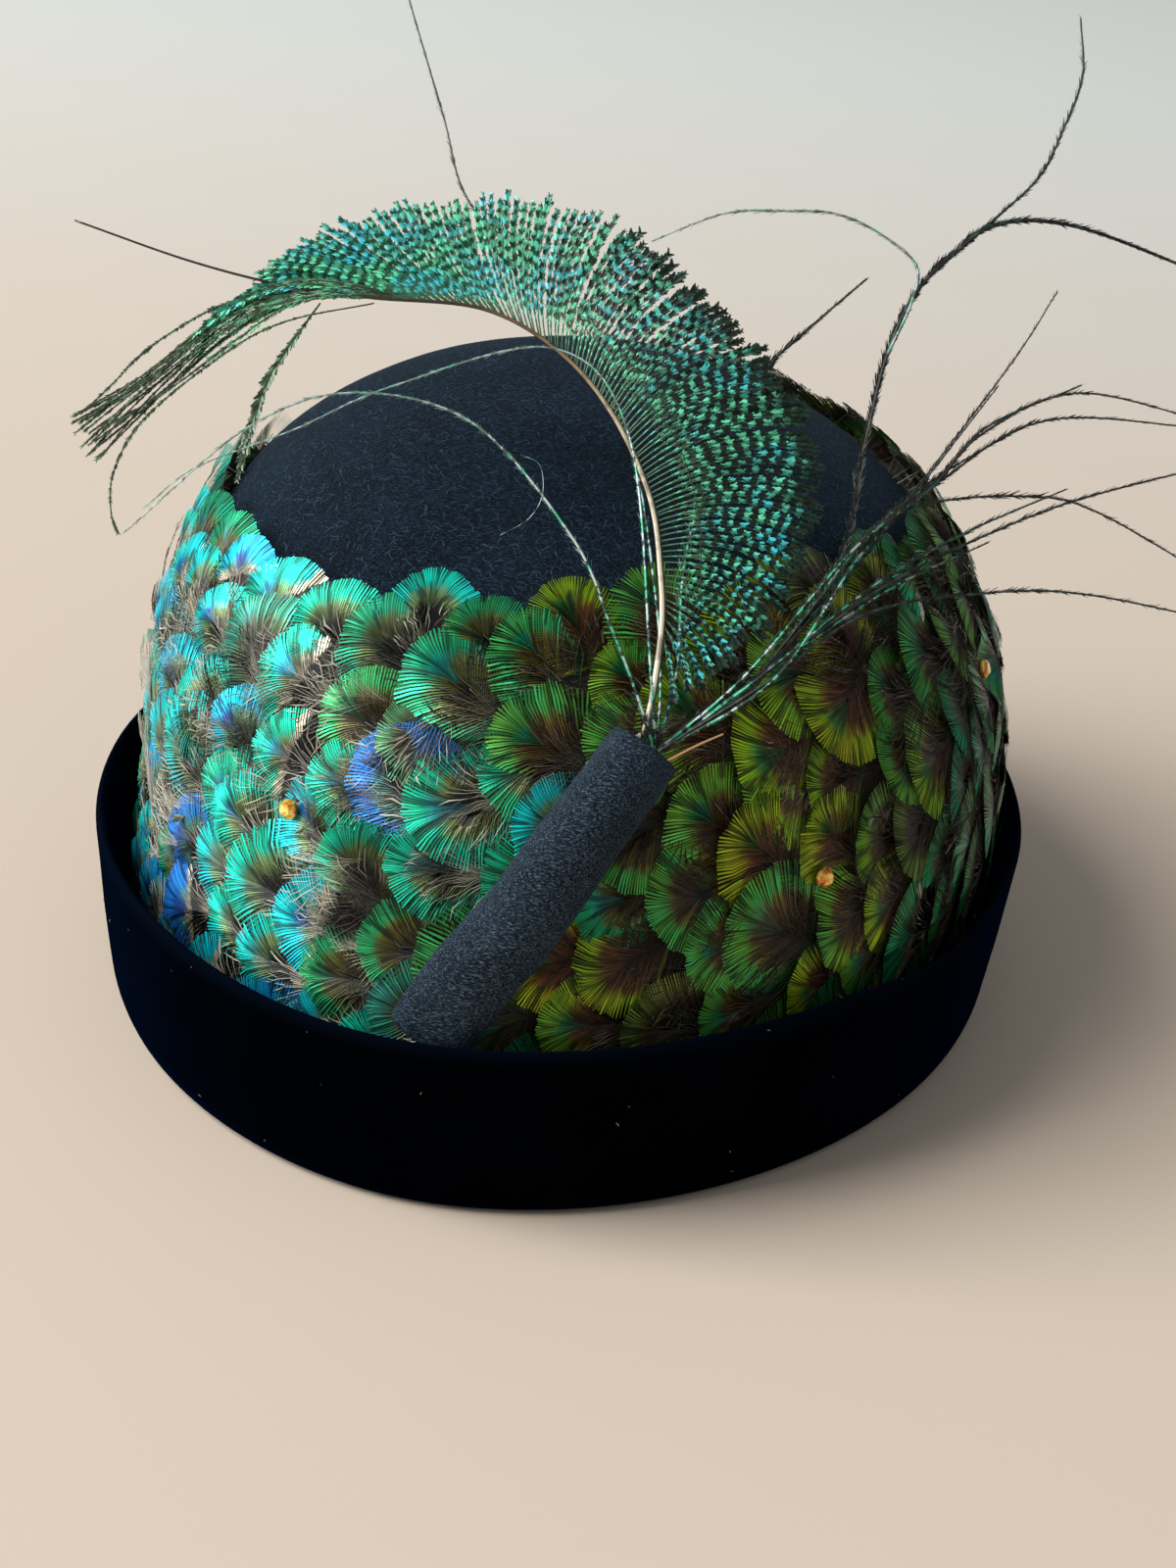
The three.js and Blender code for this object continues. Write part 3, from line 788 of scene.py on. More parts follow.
def buildFan(tree):  # a flat fan of barbs on each point, laid down on the head's form
    b = barbShape
    radius = tree.size("Radius")
    columns = tree.size("Barbs") * 2
    grid = tree.grid(columns, tree.size("Steps"))
    place = tree.gridPlace()
    column = (place + 0.5) * (columns - 1)
    gaps = tree.maths("MODULO", tree.maths("FLOOR", column), 2)
    strips = tree.node("GeometryNodeDeleteGeometry", {"domain": "FACE"}, {
        "Geometry": grid, "Selection": tree.maths("GREATER_THAN", gaps, 0.5)})
    whole = tree.maths("ROUND", column)
    barb = tree.maths("FLOOR", whole / 2)
    side = (whole - barb * 2) * 2 - 1
    fan = barb / (tree.size("Barbs") - 1) * 2 - 1
    along = place.other("Y") + 0.5
    luck = tree.chance(0.0, 1.0, tree.size("Seed"), barb)
    bunch = tree.noise(tree.joined(fan * b["bunches"], tree.size("Seed"), 0), 1.0, 1.0) - 0.5
    # Each barb is a round curve from its root over a bend to its tip.
    turn = (fan + bunch * b["bunchTurn"]) * tree.size("Half angle")
    reach = radius * (b["shortest"] + luck * b["uneven"] + bunch * b["bunchReach"])
    tipX = reach * tree.maths("COSINE", turn)
    tipY = reach * tree.maths("SINE", turn)
    spine = tree.size("Root back") * tree.maths("ABSOLUTE", fan) ** b["rootCurve"]
    rootX = radius * (tree.size("Root tip") - spine)
    bendX = rootX + (tipX - rootX) * b["bendTipward"]
    bendY = tipY * b["bendAside"]
    left = 1 - along
    x = left * left * rootX + 2 * along * left * bendX + along * along * tipX
    y = 2 * along * left * bendY + along * along * tipY
    across = tree.joined(0 - (tipY - bendY * 0.6), tipX - bendX * 0.6 - rootX * 0.4, 0)
    pointed = 1 - tree.step(along, b["pointFrom"], 1.0) * tree.size("Point")
    room = radius * tree.size("Half angle") / tree.size("Barbs")
    half = room * tree.size("Cover") * (b["rootWidth"] + (1 - b["rootWidth"]) * along) * pointed
    aside = tree.scaled(tree.vector("NORMALIZE", across), half * side)
    flat = tree.vector("ADD", tree.joined(x, y, 0), aside)
    # How far over the head each point stands.
    out = tree.step(x / radius, -1.0, 1.0)
    rise = tree.size("High lift") - tree.size("Low lift")
    lift = tree.size("Low lift") + rise * out ** b["liftCurve"] + side * b["twist"]
    lift = lift + (luck - 0.5) * b["liftJitter"] * along
    lift = lift - tree.maths("SINE", tree.maths("ABSOLUTE", turn)) * along * along * rise * b["droop"]
    marks = {"along": along, "fan": fan, "luck": luck, "side": side, "axis": x / radius,
             "reach": tree.vector("LENGTH", flat, out="Value") / radius, "lift": lift}
    kept = strips
    for name, value in marks.items():
        kept = tree.keep(kept, name, value)
    shape = tree.moved(kept, position=flat)
    turned = tree.turnTo(tree.named("outward", "FLOAT_VECTOR"), tree.named("tipward", "FLOAT_VECTOR"))
    fans = tree.placed(tree.start, shape, turned, tree.named("size"))
    loose = tree.node("GeometryNodeRealizeInstances", {}, {"Geometry": fans})
    swirl = tree.noise(tree.position(), tree.size("Curl"), 2.0, out="Color")
    swirl = tree.vector("SUBTRACT", swirl, (0.5, 0.5, 0.5))
    loose = tree.moved(loose, offset=tree.scaled(swirl, tree.size("Ruffle") * tree.named("along")))
    form = tree.node("GeometryNodeObjectInfo", {}, {"Object": tree.size("Form")}, "Geometry")
    stones = tree.node("GeometryNodeObjectInfo", {}, {"Object": tree.size("Stones")}, "Geometry")
    nearest = tree.node("GeometryNodeProximity", {"target_element": "FACES"}, {0: form})
    stoneAway = tree.node("GeometryNodeProximity", {"target_element": "POINTS"}, {0: stones}, "Distance")
    free = tree.step(stoneAway, stoneShape["from"], stoneShape["to"])
    wanted = tree.named("lift") + tree.named("stack") * b["stackGap"] * mm
    low = tree.size("Stone clearance")
    normal = tree.vector("NORMALIZE", tree.vector("SUBTRACT", tree.position(), nearest))
    over = tree.scaled(normal, low + (wanted - low) * free)
    tree.end(tree.moved(loose, position=tree.vector("ADD", nearest, over)))


buildFan(fanTree)

plumage = [
    (0.0, paint("#72760a")), (0.14, paint("#5f8012")), (0.28, paint("#2c7734")), (0.42, paint("#108658")),
    (0.58, paint("#04b090")), (0.72, paint("#08acbe")), (0.86, paint("#1670c0")), (1.0, paint("#1c4fa8")),
]
bronzes = [
    (0.0, paint("#884c10")), (0.22, paint("#765410")), (0.42, paint("#8f9430")), (0.6, paint("#a0a848")),
    (0.8, paint("#58a878")), (1.0, paint("#2c7f86")),
]
featherLook = {
    "root": "#0d0a06", "dull": ("#2a241a", "#3f4a38"), "barred": "#0b0906", "bar": "#b8af98",
    "shadeFrom": 40 * mm, "shadeTo": 85 * mm,  # the side that faces away from the light
}
downLook = {"brown": ("#0d0906", "#403224"), "pale": "#d2cab8", "bar": "#e0d6bc"}
groundLook = {"dark": "#0b0a08", "brown": "#2b2318", "strand": "#0c1a12", "bump": 0.5 * mm}


def featherBlade(tree):
    f = featherLook
    reach, fan, tint, luck, mood = tree.attributes("reach", "fan", "tint", "luck", "mood")
    along, side, axis = tree.attributes("along", "side", "axis")
    where = tree.where()
    drift = tree.noise(where, 90.0, 2.0) - 0.5
    wobble = (tree.noise(where, 380.0, 2.0) - 0.5) * 0.2
    tone = tint + drift * 0.26 + (luck - 0.5) * 0.05
    olive = 1 - tree.step(tint, 0.2, 0.5)
    streak = tree.noise(tree.joined(fan * 30, reach * 3, mood * 9), 1.0, 2.0) - 0.5
    fromRoot = reach + wobble * 0.7 + streak * 0.36
    # From the root out: dark, then bronze, then the bright rim, with the rim's colour in the middle. The
    # dark root is the feather's brown base, kept near black as painted shade under the feather that lies
    # over it.
    rim = tree.ramp(tone + 0.05, plumage)
    bronze = tree.mix(0.3 - mood * 0.3 - olive * 0.15, tree.ramp(tone, bronzes), rim)
    ring = tree.step(fromRoot + olive * 0.16, 0.24 - mood * 0.2, 0.46 - mood * 0.15)
    rimmed = tree.step(fromRoot - olive * 0.02, 0.45 - mood * 0.2, 0.72 - mood * 0.14)
    heart = 1 - tree.step(tree.maths("ABSOLUTE", fan), 0.16, 0.3)
    heart = heart * (1 - tree.step(fromRoot, 0.52, 0.68)) * tree.step(mood, 0.15, 0.5)
    body = tree.mix(ring, paint(f["root"]), bronze)
    body = tree.mix(rimmed, body, rim)
    body = tree.mix(heart, body, tree.ramp(tone + 0.2, plumage))
    # A few feathers are dull, and a few have a pale bar over a dark root.
    dull = (1 - tree.step(mood, 0.04, 0.09)) * 0.6
    body = tree.mix(dull, body, tree.mix(luck, *map(paint, f["dull"])))
    barred = tree.step(mood - olive * 0.15, 0.77, 0.79)
    beyond = tree.step(axis + wobble, 0.1, 0.14)
    body = tree.mix(barred * (1 - beyond), body, paint(f["barred"]))
    bar = barred * beyond * (1 - tree.step(axis + wobble * 1.6, 0.24, 0.29))
    body = tree.mix(bar, body, paint(f["bar"]))
    # The barbs' edges, splits between them and their roots are darker. All three are painted shade: a
    # painted highlight down the middle of each flat barb, painted dark gaps between the clumps, and roots
    # shaded as if under the next feather.
    line = 1.04 - side * side
    fork = tree.noise(tree.joined(fan * 15, reach * 1.4, mood * 17), 1.0, 1.0)
    split = 1 - tree.step(fork, 0.54, 0.62) * 0.7
    # Brighter for the bluer feathers of the lit left, which is painted light; brighter at the rims;
    # changing with the streaks and mood, the feathers' own tone; darker on the side away from the light
    # and in the splits, which is painted shade.
    paintedLightAndTone = 1.08 + tree.step(tint, 0.36, 0.6) * 1.12 + rimmed * (0.55 + olive * 1.0)
    paintedLightAndTone = paintedLightAndTone + streak * (1.1 + olive * 1.5)
    shaded = 1 - tree.step(tree.parts(where), f["shadeFrom"], f["shadeTo"]) * 0.5
    paintedLightAndTone = paintedLightAndTone * shaded * (0.82 + 0.3 * mood) * split
    shade = line * (0.5 + 0.6 * luck) * (0.28 + olive * 0.24 + 0.75 * tree.step(along, 0.25, 0.8)) * paintedLightAndTone
    grey = tree.node("ShaderNodeCombineColor", {}, {0: shade, 1: shade, 2: shade})
    return tree.surface({
        "Base Color": tree.mix(1.0, body, grey, "MULTIPLY"), "Metallic": 0.3 + rimmed * 0.3,
        "Roughness": 0.46 - luck * 0.12, "Specular IOR Level": 0.5})


def featherDown(tree):
    along, mood, luck, tint = tree.attributes("along", "mood", "luck", "tint")
    where = tree.where()
    leftward = tree.step(tint, 0.35, 0.55)  # paler on the lit side
    patch = tree.step(tree.noise(where, 75.0, 1.0), 0.38, 0.48)
    brown = tree.mix(luck, *map(paint, downLook["brown"]))
    pale = tree.mix(leftward * patch * (0.45 + 0.55 * luck), brown, paint(downLook["pale"]))
    bars = tree.step(tree.noise(where, 150.0, 2.0), 0.6, 0.66) * tree.step(mood, 0.7, 0.8)
    colour = tree.mix(bars * (0.4 + leftward * 0.6) * 0.8, pale, paint(downLook["bar"]))
    colour = tree.mix(tree.step(along, 0.75, 1.0) * 0.4, colour, tree.ramp(tint - 0.1, plumage))
    return tree.surface({
        "Base Color": colour, "Roughness": 0.75, "Specular IOR Level": 0.3, "Sheen Weight": 0.2})


def bandGround(tree):
    g = groundLook
    where = tree.where()
    patches = tree.step(tree.noise(where, 180.0, 4.0), 0.35, 0.7)
    strands = tree.noise(where, 1500.0, 3.0)
    colour = tree.mix(patches, paint(g["dark"]), paint(g["brown"]))
    return tree.surface({
        "Base Color": tree.mix(strands * 0.4, colour, paint(g["strand"])), "Roughness": 0.9,
        "Normal": tree.bump(strands, 0.8, g["bump"])})


def bandShell():  # the thin ground that the feathers are sewn to, kept near black brown as painted shade in the gaps between them
    b = bandShape
    sides, rows = b["sides"], b["rows"]
    lower, upper = b["clearance"], b["clearance"] + b["ground"]
    rings = []
    for offset, order in ((lower, range(rows, -1, -1)), (upper, range(rows + 1))):
        for row in order:
            ring = []
            for i in range(sides):
                angle = 2 * pi * i / sides - pi
                wave = noise.noise(Vector((i * 0.9, 0, 0)))
                top = between(bandEdge, angle * 180 / pi) - b["hem"] + b["hemWave"] * wave
                height = b["from"] + (top - b["from"]) * row / rows
                ring.append(onHead(angle, height, offset))
            rings.append(ring)
    return skin("band_ground", rings, finish("feather ground", bandGround), True)


def stoneSpots():
    spots = []
    for row in stonePlaces:
        swell = exp(-((row["height"] - bandShape["swellHeight"]) / bandShape["swellSpread"]) ** 2)
        offset = stoneShape["rise"] + bandShape["swell"] * swell
        spots.append(onHead(radians(row["azimuth"]), row["height"], offset))
    return spots


def makeFeathers(places, lists, shared):
    first = 0.0
    for kind, row in featherKinds.items():
        picked = [i for i in range(len(places)) if first <= lists["pick"][i] < first + row["share"]]
        first += row["share"]
        chosen = {name: [rows[i] for i in picked] for name, rows in lists.items()}
        seat = carrier("feather_seat", [places[i] for i in picked], **chosen)
        sizes = {
            "Barbs": row["barbs"], "Radius": row["radius"] * mm, "Half angle": radians(row["half"]),
            "Root tip": row["rootTip"], "Root back": row["rootBack"], "Cover": row["cover"],
            "Point": row["point"], "Low lift": row["lift"][0] * mm, "High lift": row["lift"][1] * mm,
            "Ruffle": row["ruffle"] * mm, "Seed": row["seed"],
        }
        blades = grow("feathers_" + kind, seat, fanTree, {**shared, **sizes})
        settle(blades, "band_feather", "feather_band")
        bpy.data.objects.remove(seat)


def makeDown(places, lists, shared):
    back = downShape["back"] * mm
    roots = [place - way * back for place, way in zip(places, lists["tipward"])]
    seat = carrier("down_seat", roots, **lists)
    down = {**shared, **downShape["fan"], "Material": finish("feather down", featherDown)}
    settle(grow("feather_down", seat, fanTree, down), "band_feather", "feather_band")
    bpy.data.objects.remove(seat)
    chance = Random(tuftShape["seed"])
    for name, spots, fan in (("edge_down", fraySpots, frayFan), ("stray_down", wispSpots, wispFan)):
        tufts, values = tuftCarrier(spots(chance), chance)
        seat = carrier("tuft_seat", tufts, **values)
        settle(grow(name, seat, fanTree, {**down, **fan}), "band_feather")
        bpy.data.objects.remove(seat)


def makeBand():
    settle(bandShell(), "band_feather", "feather_band")
    wide = bandShape["clearance"] + bandShape["ground"]
    form = skin("head_form", headRings(headLine(wide, 48), 180), crownFelt)
    stones = carrier("stone_spots", stoneSpots())
    places, lists = featherCarrier()
    shared = {"Form": form, "Stones": stones, "Stone clearance": stoneShape["clearance"],
              "Steps": 5, "Curl": 260.0}
    makeFeathers(places, lists, {**shared, "Material": finish("feather blades", featherBlade)})
    makeDown(places, lists, shared)
    for helper in (form, stones):
        bpy.data.objects.remove(helper)


makeBand()


# Sleeve

sleeveShape = {
    "felt": 2.2, "hollow": 18, "sides": 48, "steps": 60, "rows": 44, "facing": (0.12, -0.95, 0.3),
    "uneven": 0.03, "unevenTurn": 1.3, "unevenLength": 5,
    "nap": {"Density": 1300000.0, "Length": 1.0 * mm, "Width": 0.035 * mm, "Curl": 0.15,
            "Lift": 0.14 * mm, "Seed": 4},
    "napColours": ("#5a7088", "#0e1720"),
}
sleeveRows = [  # middle line, width and depth
    (6, -107.4, 37, 16, 5), (8.5, -107, 42, 16, 6), (14, -105.6, 51.5, 15.6, 9),
    (22.5, -102.2, 64.5, 15, 12), (30.3, -95.2, 78.5, 14.4, 13.6), (37.8, -83.4, 91.5, 14, 14),
]


def fromHat(x, y, z):  # a place drawn in millimetres from the crown's axis
    return hatAxis + Vector((x, y, z)) * mm


def makeSleeve():
    c = sleeveShape
    steps, sides, wall = c["steps"], c["sides"], c["felt"]
    middle = smoothLine([fromHat(*row[:3]) for row in sleeveRows], steps + 1)
    sizes = smoothLine([Vector((row[3], row[4], i * 12)) for i, row in enumerate(sleeveRows)], steps + 1)
    ways = directions(middle)
    facing = Vector(c["facing"])

    def ring(at, shrink):
        i = round(at * steps)
        side = facing.cross(ways[i]).normalized()
        out = ways[i].cross(side)
        width = (sizes[i].x / 2 - shrink) * mm
        depth = (sizes[i].y / 2 - shrink * min(1, sizes[i].y / 14)) * mm
        loop = []
        for k in range(sides):
            turn = 2 * pi * k / sides
            spot = Vector((cos(turn), sin(turn), at * c["unevenLength"])) * c["unevenTurn"]
            soft = 1 + c["uneven"] * noise.noise(spot)
            loop.append(middle[i] + side * cos(turn) * width * soft + out * sin(turn) * depth * soft)
        return loop

    length = sum((b - a).length for a, b in zip(middle, middle[1:]))
    floor = 1 - c["hollow"] * mm / length
    rings = [[middle[0]] * sides, ring(0, 1.6), ring(0.005, 0.5)]
    rings += [ring(i / c["rows"], 0) for i in range(1, c["rows"])]
    rings += [ring(0.992, 0.0), ring(1, 0.35), ring(1, 1.1), ring(1, wall - 0.5), ring(0.985, wall)]
    rings += [ring(1 + (floor - 1) * i / 6, wall) for i in range(1, 7)]
    rings.append([middle[round(floor * steps)]] * sides)
    sleeve = settle(skin("felt_sleeve", rings, sleeveFelt), "sleeve_felt", "quill_sleeve")
    look = finish("grey felt fibres", looseFibre(*c["napColours"]))
    settle(napOn("sleeve_nap", sleeve, c["nap"], lambda place, normal: 1.0, look), "sleeve_felt")


makeSleeve()


# Plume and herls

plumePose = {"turn": radians(13), "lean": radians(37), "roll": radians(4)}
mouth = fromHat(*sleeveRows[-1][:3])
plumeTurn = (Matrix.Rotation(plumePose["turn"], 3, "Z")
             @ Matrix.Rotation(pi / 2 - plumePose["lean"], 3, "X")
             @ Matrix.Rotation(plumePose["roll"], 3, "Z"))
plumeFacing = plumeTurn @ Vector((0, 0, 1))
plumeUp = plumeTurn @ Vector((0, 1, 0))
sleeveLine = smoothLine([fromHat(*row[:3]) for row in sleeveRows], 80)
sleeveDown = (sleeveLine[-2] - sleeveLine[-1]).normalized()
sleeveSide = sleeveDown.cross(plumeFacing).normalized()


def inPlume(x, y, z=0.0):  # across, up and forward of the sleeve's mouth
    return mouth + plumeTurn @ Vector((x, y, z)) * mm


def inSleeve(depth, offset):
    return mouth + sleeveDown * depth * mm - sleeveSide * offset * mm


strandTree = GrowTree("bristled_strand", {
    "Pitch": "Float", "Blade": "Float", "Blade width": "Float", "Angle": "Float", "Far side": "Float",
    "Scatter": "Float", "Seed": "Int"})
barbuleShape = {
    "taper": 0.6, "roll": 0.6, "sizes": (0.7, 1.25), "clumps": 420.0, "clump": 1.3, "thinnest": 0.35,
}


def buildStrand(tree):  # a fine stem with a pair of barbules at each step
    b = barbuleShape
    lines = tree.node("GeometryNodeMeshToCurve", {}, {"Mesh": tree.start})
    circle = tree.node("GeometryNodeCurvePrimitiveCircle", {"mode": "RADIUS"}, {
        "Resolution": 3, "Radius": 1.0})
    stem = tree.node("GeometryNodeCurveToMesh", {}, {
        "Curve": lines, "Profile Curve": circle, "Scale": tree.named("stem"), "Fill Caps": True})
    spots = tree.node("GeometryNodeCurveToPoints", {"mode": "LENGTH"}, {
        "Curve": lines, "Length": tree.size("Pitch")})

    def blade(turn, length, side):
        grid = tree.grid(2, 2)
        place = tree.gridPlace()
        along = place + 0.5
        across = place.other("Y") * tree.size("Blade width") * (1 - along * b["taper"])
        reach = along * tree.size("Blade") * length
        cosine, sine = tree.maths("COSINE", turn), tree.maths("SINE", turn)
        marked = tree.keep(tree.keep(grid, "blade", along), "side", side)
        return tree.moved(marked, position=tree.joined(
            reach * cosine - across * sine, reach * sine + across * cosine, 0))

    angle, seed = tree.size("Angle"), tree.size("Seed")
    pair = tree.together(blade(angle, 1.0, 1.0), blade(0 - angle, tree.size("Far side"), -1.0))
    forward = spots.other("Tangent")
    facing = tree.named("facing", "FLOAT_VECTOR")
    roll = tree.chance(-b["roll"], b["roll"], seed)
    facing = tree.vector("ADD", facing, tree.scaled(tree.vector("CROSS_PRODUCT", facing, forward), roll))
    scatter = tree.chance(-1.0, 1.0, seed + 3) * tree.size("Scatter")
    aside = tree.scaled(tree.vector("CROSS_PRODUCT", facing, forward), scatter)
    clump = tree.noise(tree.position(), b["clumps"], 1.0) * b["clump"] + b["thinnest"]
    size = tree.named("size") * tree.chance(*b["sizes"], seed + 1) * clump
    marked = tree.keep(spots, "luck", tree.chance(0.0, 1.0, seed + 2))
    turned = tree.turnTo(facing, tree.vector("ADD", forward, aside))
    blades = tree.placed(marked, pair, turned, tree.joined(size, size * tree.named("flare"), 1))
    tree.end(tree.together(stem, blades))


buildStrand(strandTree)


def strandCarrier(name, strands):
    # Each strand has its line, the way it faces, its tint, and its stem and bristle sizes along it.
    points, edges = [], []
    lists = {"facing": [], "along": [], "tint": [], "stem": [], "size": [], "share": [], "flare": []}
    for strand in strands:
        first = len(points)
        line = strand["line"]
        last = len(line) - 1
        for i, point in enumerate(line):
            share = i / last
            points.append(point)
            lists["facing"].append(Vector(strand["facing"]))
            lists["along"].append(share)
            lists["tint"].append(strand["tint"])
            lists["stem"].append(between(strand["stems"], share) * mm)
            lists["size"].append(between(strand["sizes"], share))
            lists["share"].append(strand.get("share", 2.0))
            lists["flare"].append(between(strand.get("flares", [(0, 1)]), share))
        edges += [(first + i, first + i + 1) for i in range(last)]
    return carrier(name, points, edges, **lists)


quillShape = {"radius": 0.8, "tip": 0.2, "depth": 17, "offset": 2.4, "sides": 12, "steps": 120}
quillRoute = [
    (0.5, 5), (3, 21), (3, 32), (1, 47), (-6, 63), (-16, 75), (-30, 83), (-50, 85), (-65, 87),
    (-84, 92), (-106, 100),
]
vaneShape = {
    "herls": 120, "rootFrom": 0.2, "rootTo": 0.72, "crowding": 0.86, "steps": 22, "seed": 17,
    "over": (-0.9, 1.6), "depth": 1.2, "farFrom": 0.62, "farOver": 0.22, "flareTo": 0.55,
    "stems": [(0, 0.19), (1, 0.08)],
    "bow": [(0, 0.3), (0.3, 0.2), (0.6, 0.15), (1, 0.15)], "arch": [(0, 0), (0.75, 0), (1, 0.3)],
    "flares": [(0, 0.8), (0.7, 1), (0.9, 1.4), (1, 2.2)], "farFlares": [(0, 0.8), (1, 1.1)],
    "barbules": {"Pitch": 0.3 * mm, "Blade": 1.4 * mm, "Blade width": 0.48 * mm, "Angle": radians(22),
                 "Far side": 0.9, "Scatter": 0.18, "Seed": 31},
}
vaneEdge = [
    (5, 9), (12, 14), (22, 24), (29, 38), (31, 54), (26, 67), (19, 77), (8, 88), (-3, 98),
    (-18, 103), (-32, 104), (-47, 102), (-58, 98), (-65, 94), (-72, 88.5), (-78, 82), (-84, 76),
]
tipLocks = [
    [(-44, 86), (-62, 88.5), (-75, 84), (-90, 73), (-104.5, 62.5)],
    [(-46, 85.5), (-63, 87.5), (-76, 82.5), (-90, 70.5), (-103, 60)],
    [(-47, 85), (-63, 85.5), (-76, 80), (-90, 67), (-102, 54)],
    [(-48, 85), (-62, 84), (-75, 77), (-87, 66.5), (-97.5, 60)],
]
lockShape = {"strands": 17, "seed": 29, "loose": 0.45, "steps": 44, "stems": [(0, 0.22), (1, 0.15)],
             "sizes": [(0, 0.5), (0.25, 0.9), (0.5, 0.7), (0.75, 0.5), (1, 0.5)]}
loneHerls = {  # line, tint, stems and bristle sizes
    "top": ([(-48, 87.9), (-66.2, 86.6), (-78.1, 83.6), (-88.1, 77.7), (-93.9, 72.9), (-97.4, 68.8),
             (-102, 64)], 0.5, [(0, 0.2), (1, 0.14)], [(0, 0.3), (0.3, 0.45), (0.7, 0.45), (1, 0.35)]),
    "hanging": ([(-50, 84), (-66, 80.5), (-77, 74.5), (-91.5, 62), (-97, 52), (-97.4, 44), (-96, 40)], 0.3,
                [(0, 0.16), (1, 0.14)], [(0, 0.2), (0.3, 0.35), (0.7, 0.45), (1, 0.35)]),
    "fir": ([(-60, 84), (-62.4, 80.4), (-66.8, 73.6), (-69.7, 68.3), (-72.9, 58.9), (-74.4, 53.7)], 0.2,
            [(0, 0.2), (1, 0.12)], [(0, 0.2), (0.25, 0.7), (0.5, 1.0), (0.9, 0.8), (1, 0.5)]),
    "firTwin": ([(-66.8, 73.6), (-70, 67), (-72, 60), (-74.5, 50)], 0.2,
                [(0, 0.2), (1, 0.12)], [(0, 0.4), (0.5, 0.9), (1, 0.6)]),
    "inner": ([(-17.6, 76, 1.2), (-4.9, 68.5, 1.2), (4.8, 59.2, 1.2), (9.7, 44.3, 1.2), (10.2, 26.6, 1.2)],
              0.5, [(0, 0.14), (1, 0.1)], [(0, 0.1), (1, 0.1)]),
}


# Down the quill's lit face runs a painted highlight stripe, ivory to brown along its length; the brown of
# its sides is partly painted shade.
quillLook = {
    "highlight": [(0.0, "#b09a6c"), (0.16, "#f0e6cc"), (0.34, "#e6dabc"), (0.5, "#8d7450"),
              (0.62, "#33261c"), (1.0, "#120c0a")],  # along the quill
    "back": "#33251a", "streak": "#3a2616",
}


def quillMiddle(count):
    depth, offset = quillShape["depth"], -quillShape["offset"]
    stops = [inSleeve(deep, offset) for deep in (depth, depth / 2, 0)]
    return smoothLine(stops + [inPlume(x, y) for x, y in quillRoute], count)


def quillHorn(tree):
    along, highlight = tree.attributes("along", "highlight")
    streak = tree.noise(tree.where(), 240.0, 3.0)
    stops = [(place, paint(code)) for place, code in quillLook["highlight"]]
    highlightColour = tree.ramp(along + (streak - 0.5) * 0.04, stops)
    # the painted highlight stripe on the face towards the light, the darker sides elsewhere
    colour = tree.mix(tree.step(highlight, 0.45, 0.9), paint(quillLook["back"]), highlightColour)
    streaked = tree.mix(tree.step(streak, 0.5, 0.65) * 0.6, colour, paint(quillLook["streak"]))
    return tree.surface({
        "Base Color": streaked, "Roughness": 0.3, "Coat Weight": 0.5, "Coat Roughness": 0.15})


def makeQuill():
    q = quillShape
    line = quillMiddle(q["steps"])
    rings = [[line[0]] * q["sides"]]
    for i, (point, way) in enumerate(zip(line, directions(line))):
        share = i / (q["steps"] - 1)
        radius = (q["tip"] + (q["radius"] - q["tip"]) * (1 - share) ** 1.5) * mm
        side = plumeFacing.cross(way).normalized()
        rings.append([point + side * cos(turn) * radius + plumeFacing * sin(turn) * radius
                      for turn in (2 * pi * k / q["sides"] for k in range(q["sides"]))])
    rings.append([line[-1]] * q["sides"])
    quill = skin("plume_quill", rings, finish("horn quill", quillHorn))
    # how far each point faces the painted highlight stripe
    forward = plumeFacing - plumeUp.cross(plumeFacing) * 0.3
    along, highlight = [], []
    for v in quill.data.vertices:
        nearest = min(range(len(line)), key=lambda k: (line[k] - v.co).length_squared)
        along.append(nearest / (len(line) - 1))
        highlight.append((v.co - line[nearest]).normalized().dot(forward))
    for name, values in (("along", along), ("highlight", highlight)):
        quill.data.attributes.new(name, "FLOAT", "POINT").data.foreach_set("value", values)
    settle(quill, "plume_feather", "curled_plume")


def vaneStrands():
    v = vaneShape
    chance = Random(v["seed"])
    fine = 400
    quill = quillMiddle(fine)
    ways = directions(quill)
    edge = smoothLine([(x, y, 0) for x, y in vaneEdge], fine)
    strands = []
    for i in range(v["herls"]):
        share = (i / (v["herls"] - 1)) ** v["crowding"]
        far = limit((share - v["farFrom"]) / v["farOver"])  # bristled right from the quill there
        k = round((v["rootFrom"] + (v["rootTo"] - v["rootFrom"]) * share) * (fine - 1))
        root = quill[k]
        over = chance.uniform(*v["over"])
        flat = edge[round(share * (fine - 1))]
        goal = inPlume(flat.x, flat.y, chance.uniform(-v["depth"], v["depth"]))
        reach = goal - root
        way = reach.normalized()
        tip = goal + way * over * mm
        bow = (ways[k] - way * ways[k].dot(way)) * between(v["bow"], share)
        bend = root.lerp(tip, 0.5) + (bow + plumeUp * between(v["arch"], share)) * reach.length
        line = []
        for step in range(v["steps"] + 1):
            t = step / v["steps"]
            line.append(root * (1 - t) ** 2 + bend * 2 * t * (1 - t) + tip * t * t)
        strands.append({
            "line": line, "facing": plumeFacing, "tint": chance.random(), "stems": v["stems"],
            "sizes": [(0, 0.15 + far * 0.4), (0.1, 0.25 + far * 0.6), (0.24, 0.85 + far * 0.2),
                      (0.6, 1.1), (0.9, 1.05), (1, 0.6)], "share": share,
            "flares": v["flares"] if share < v["flareTo"] else v["farFlares"]})
    return strands


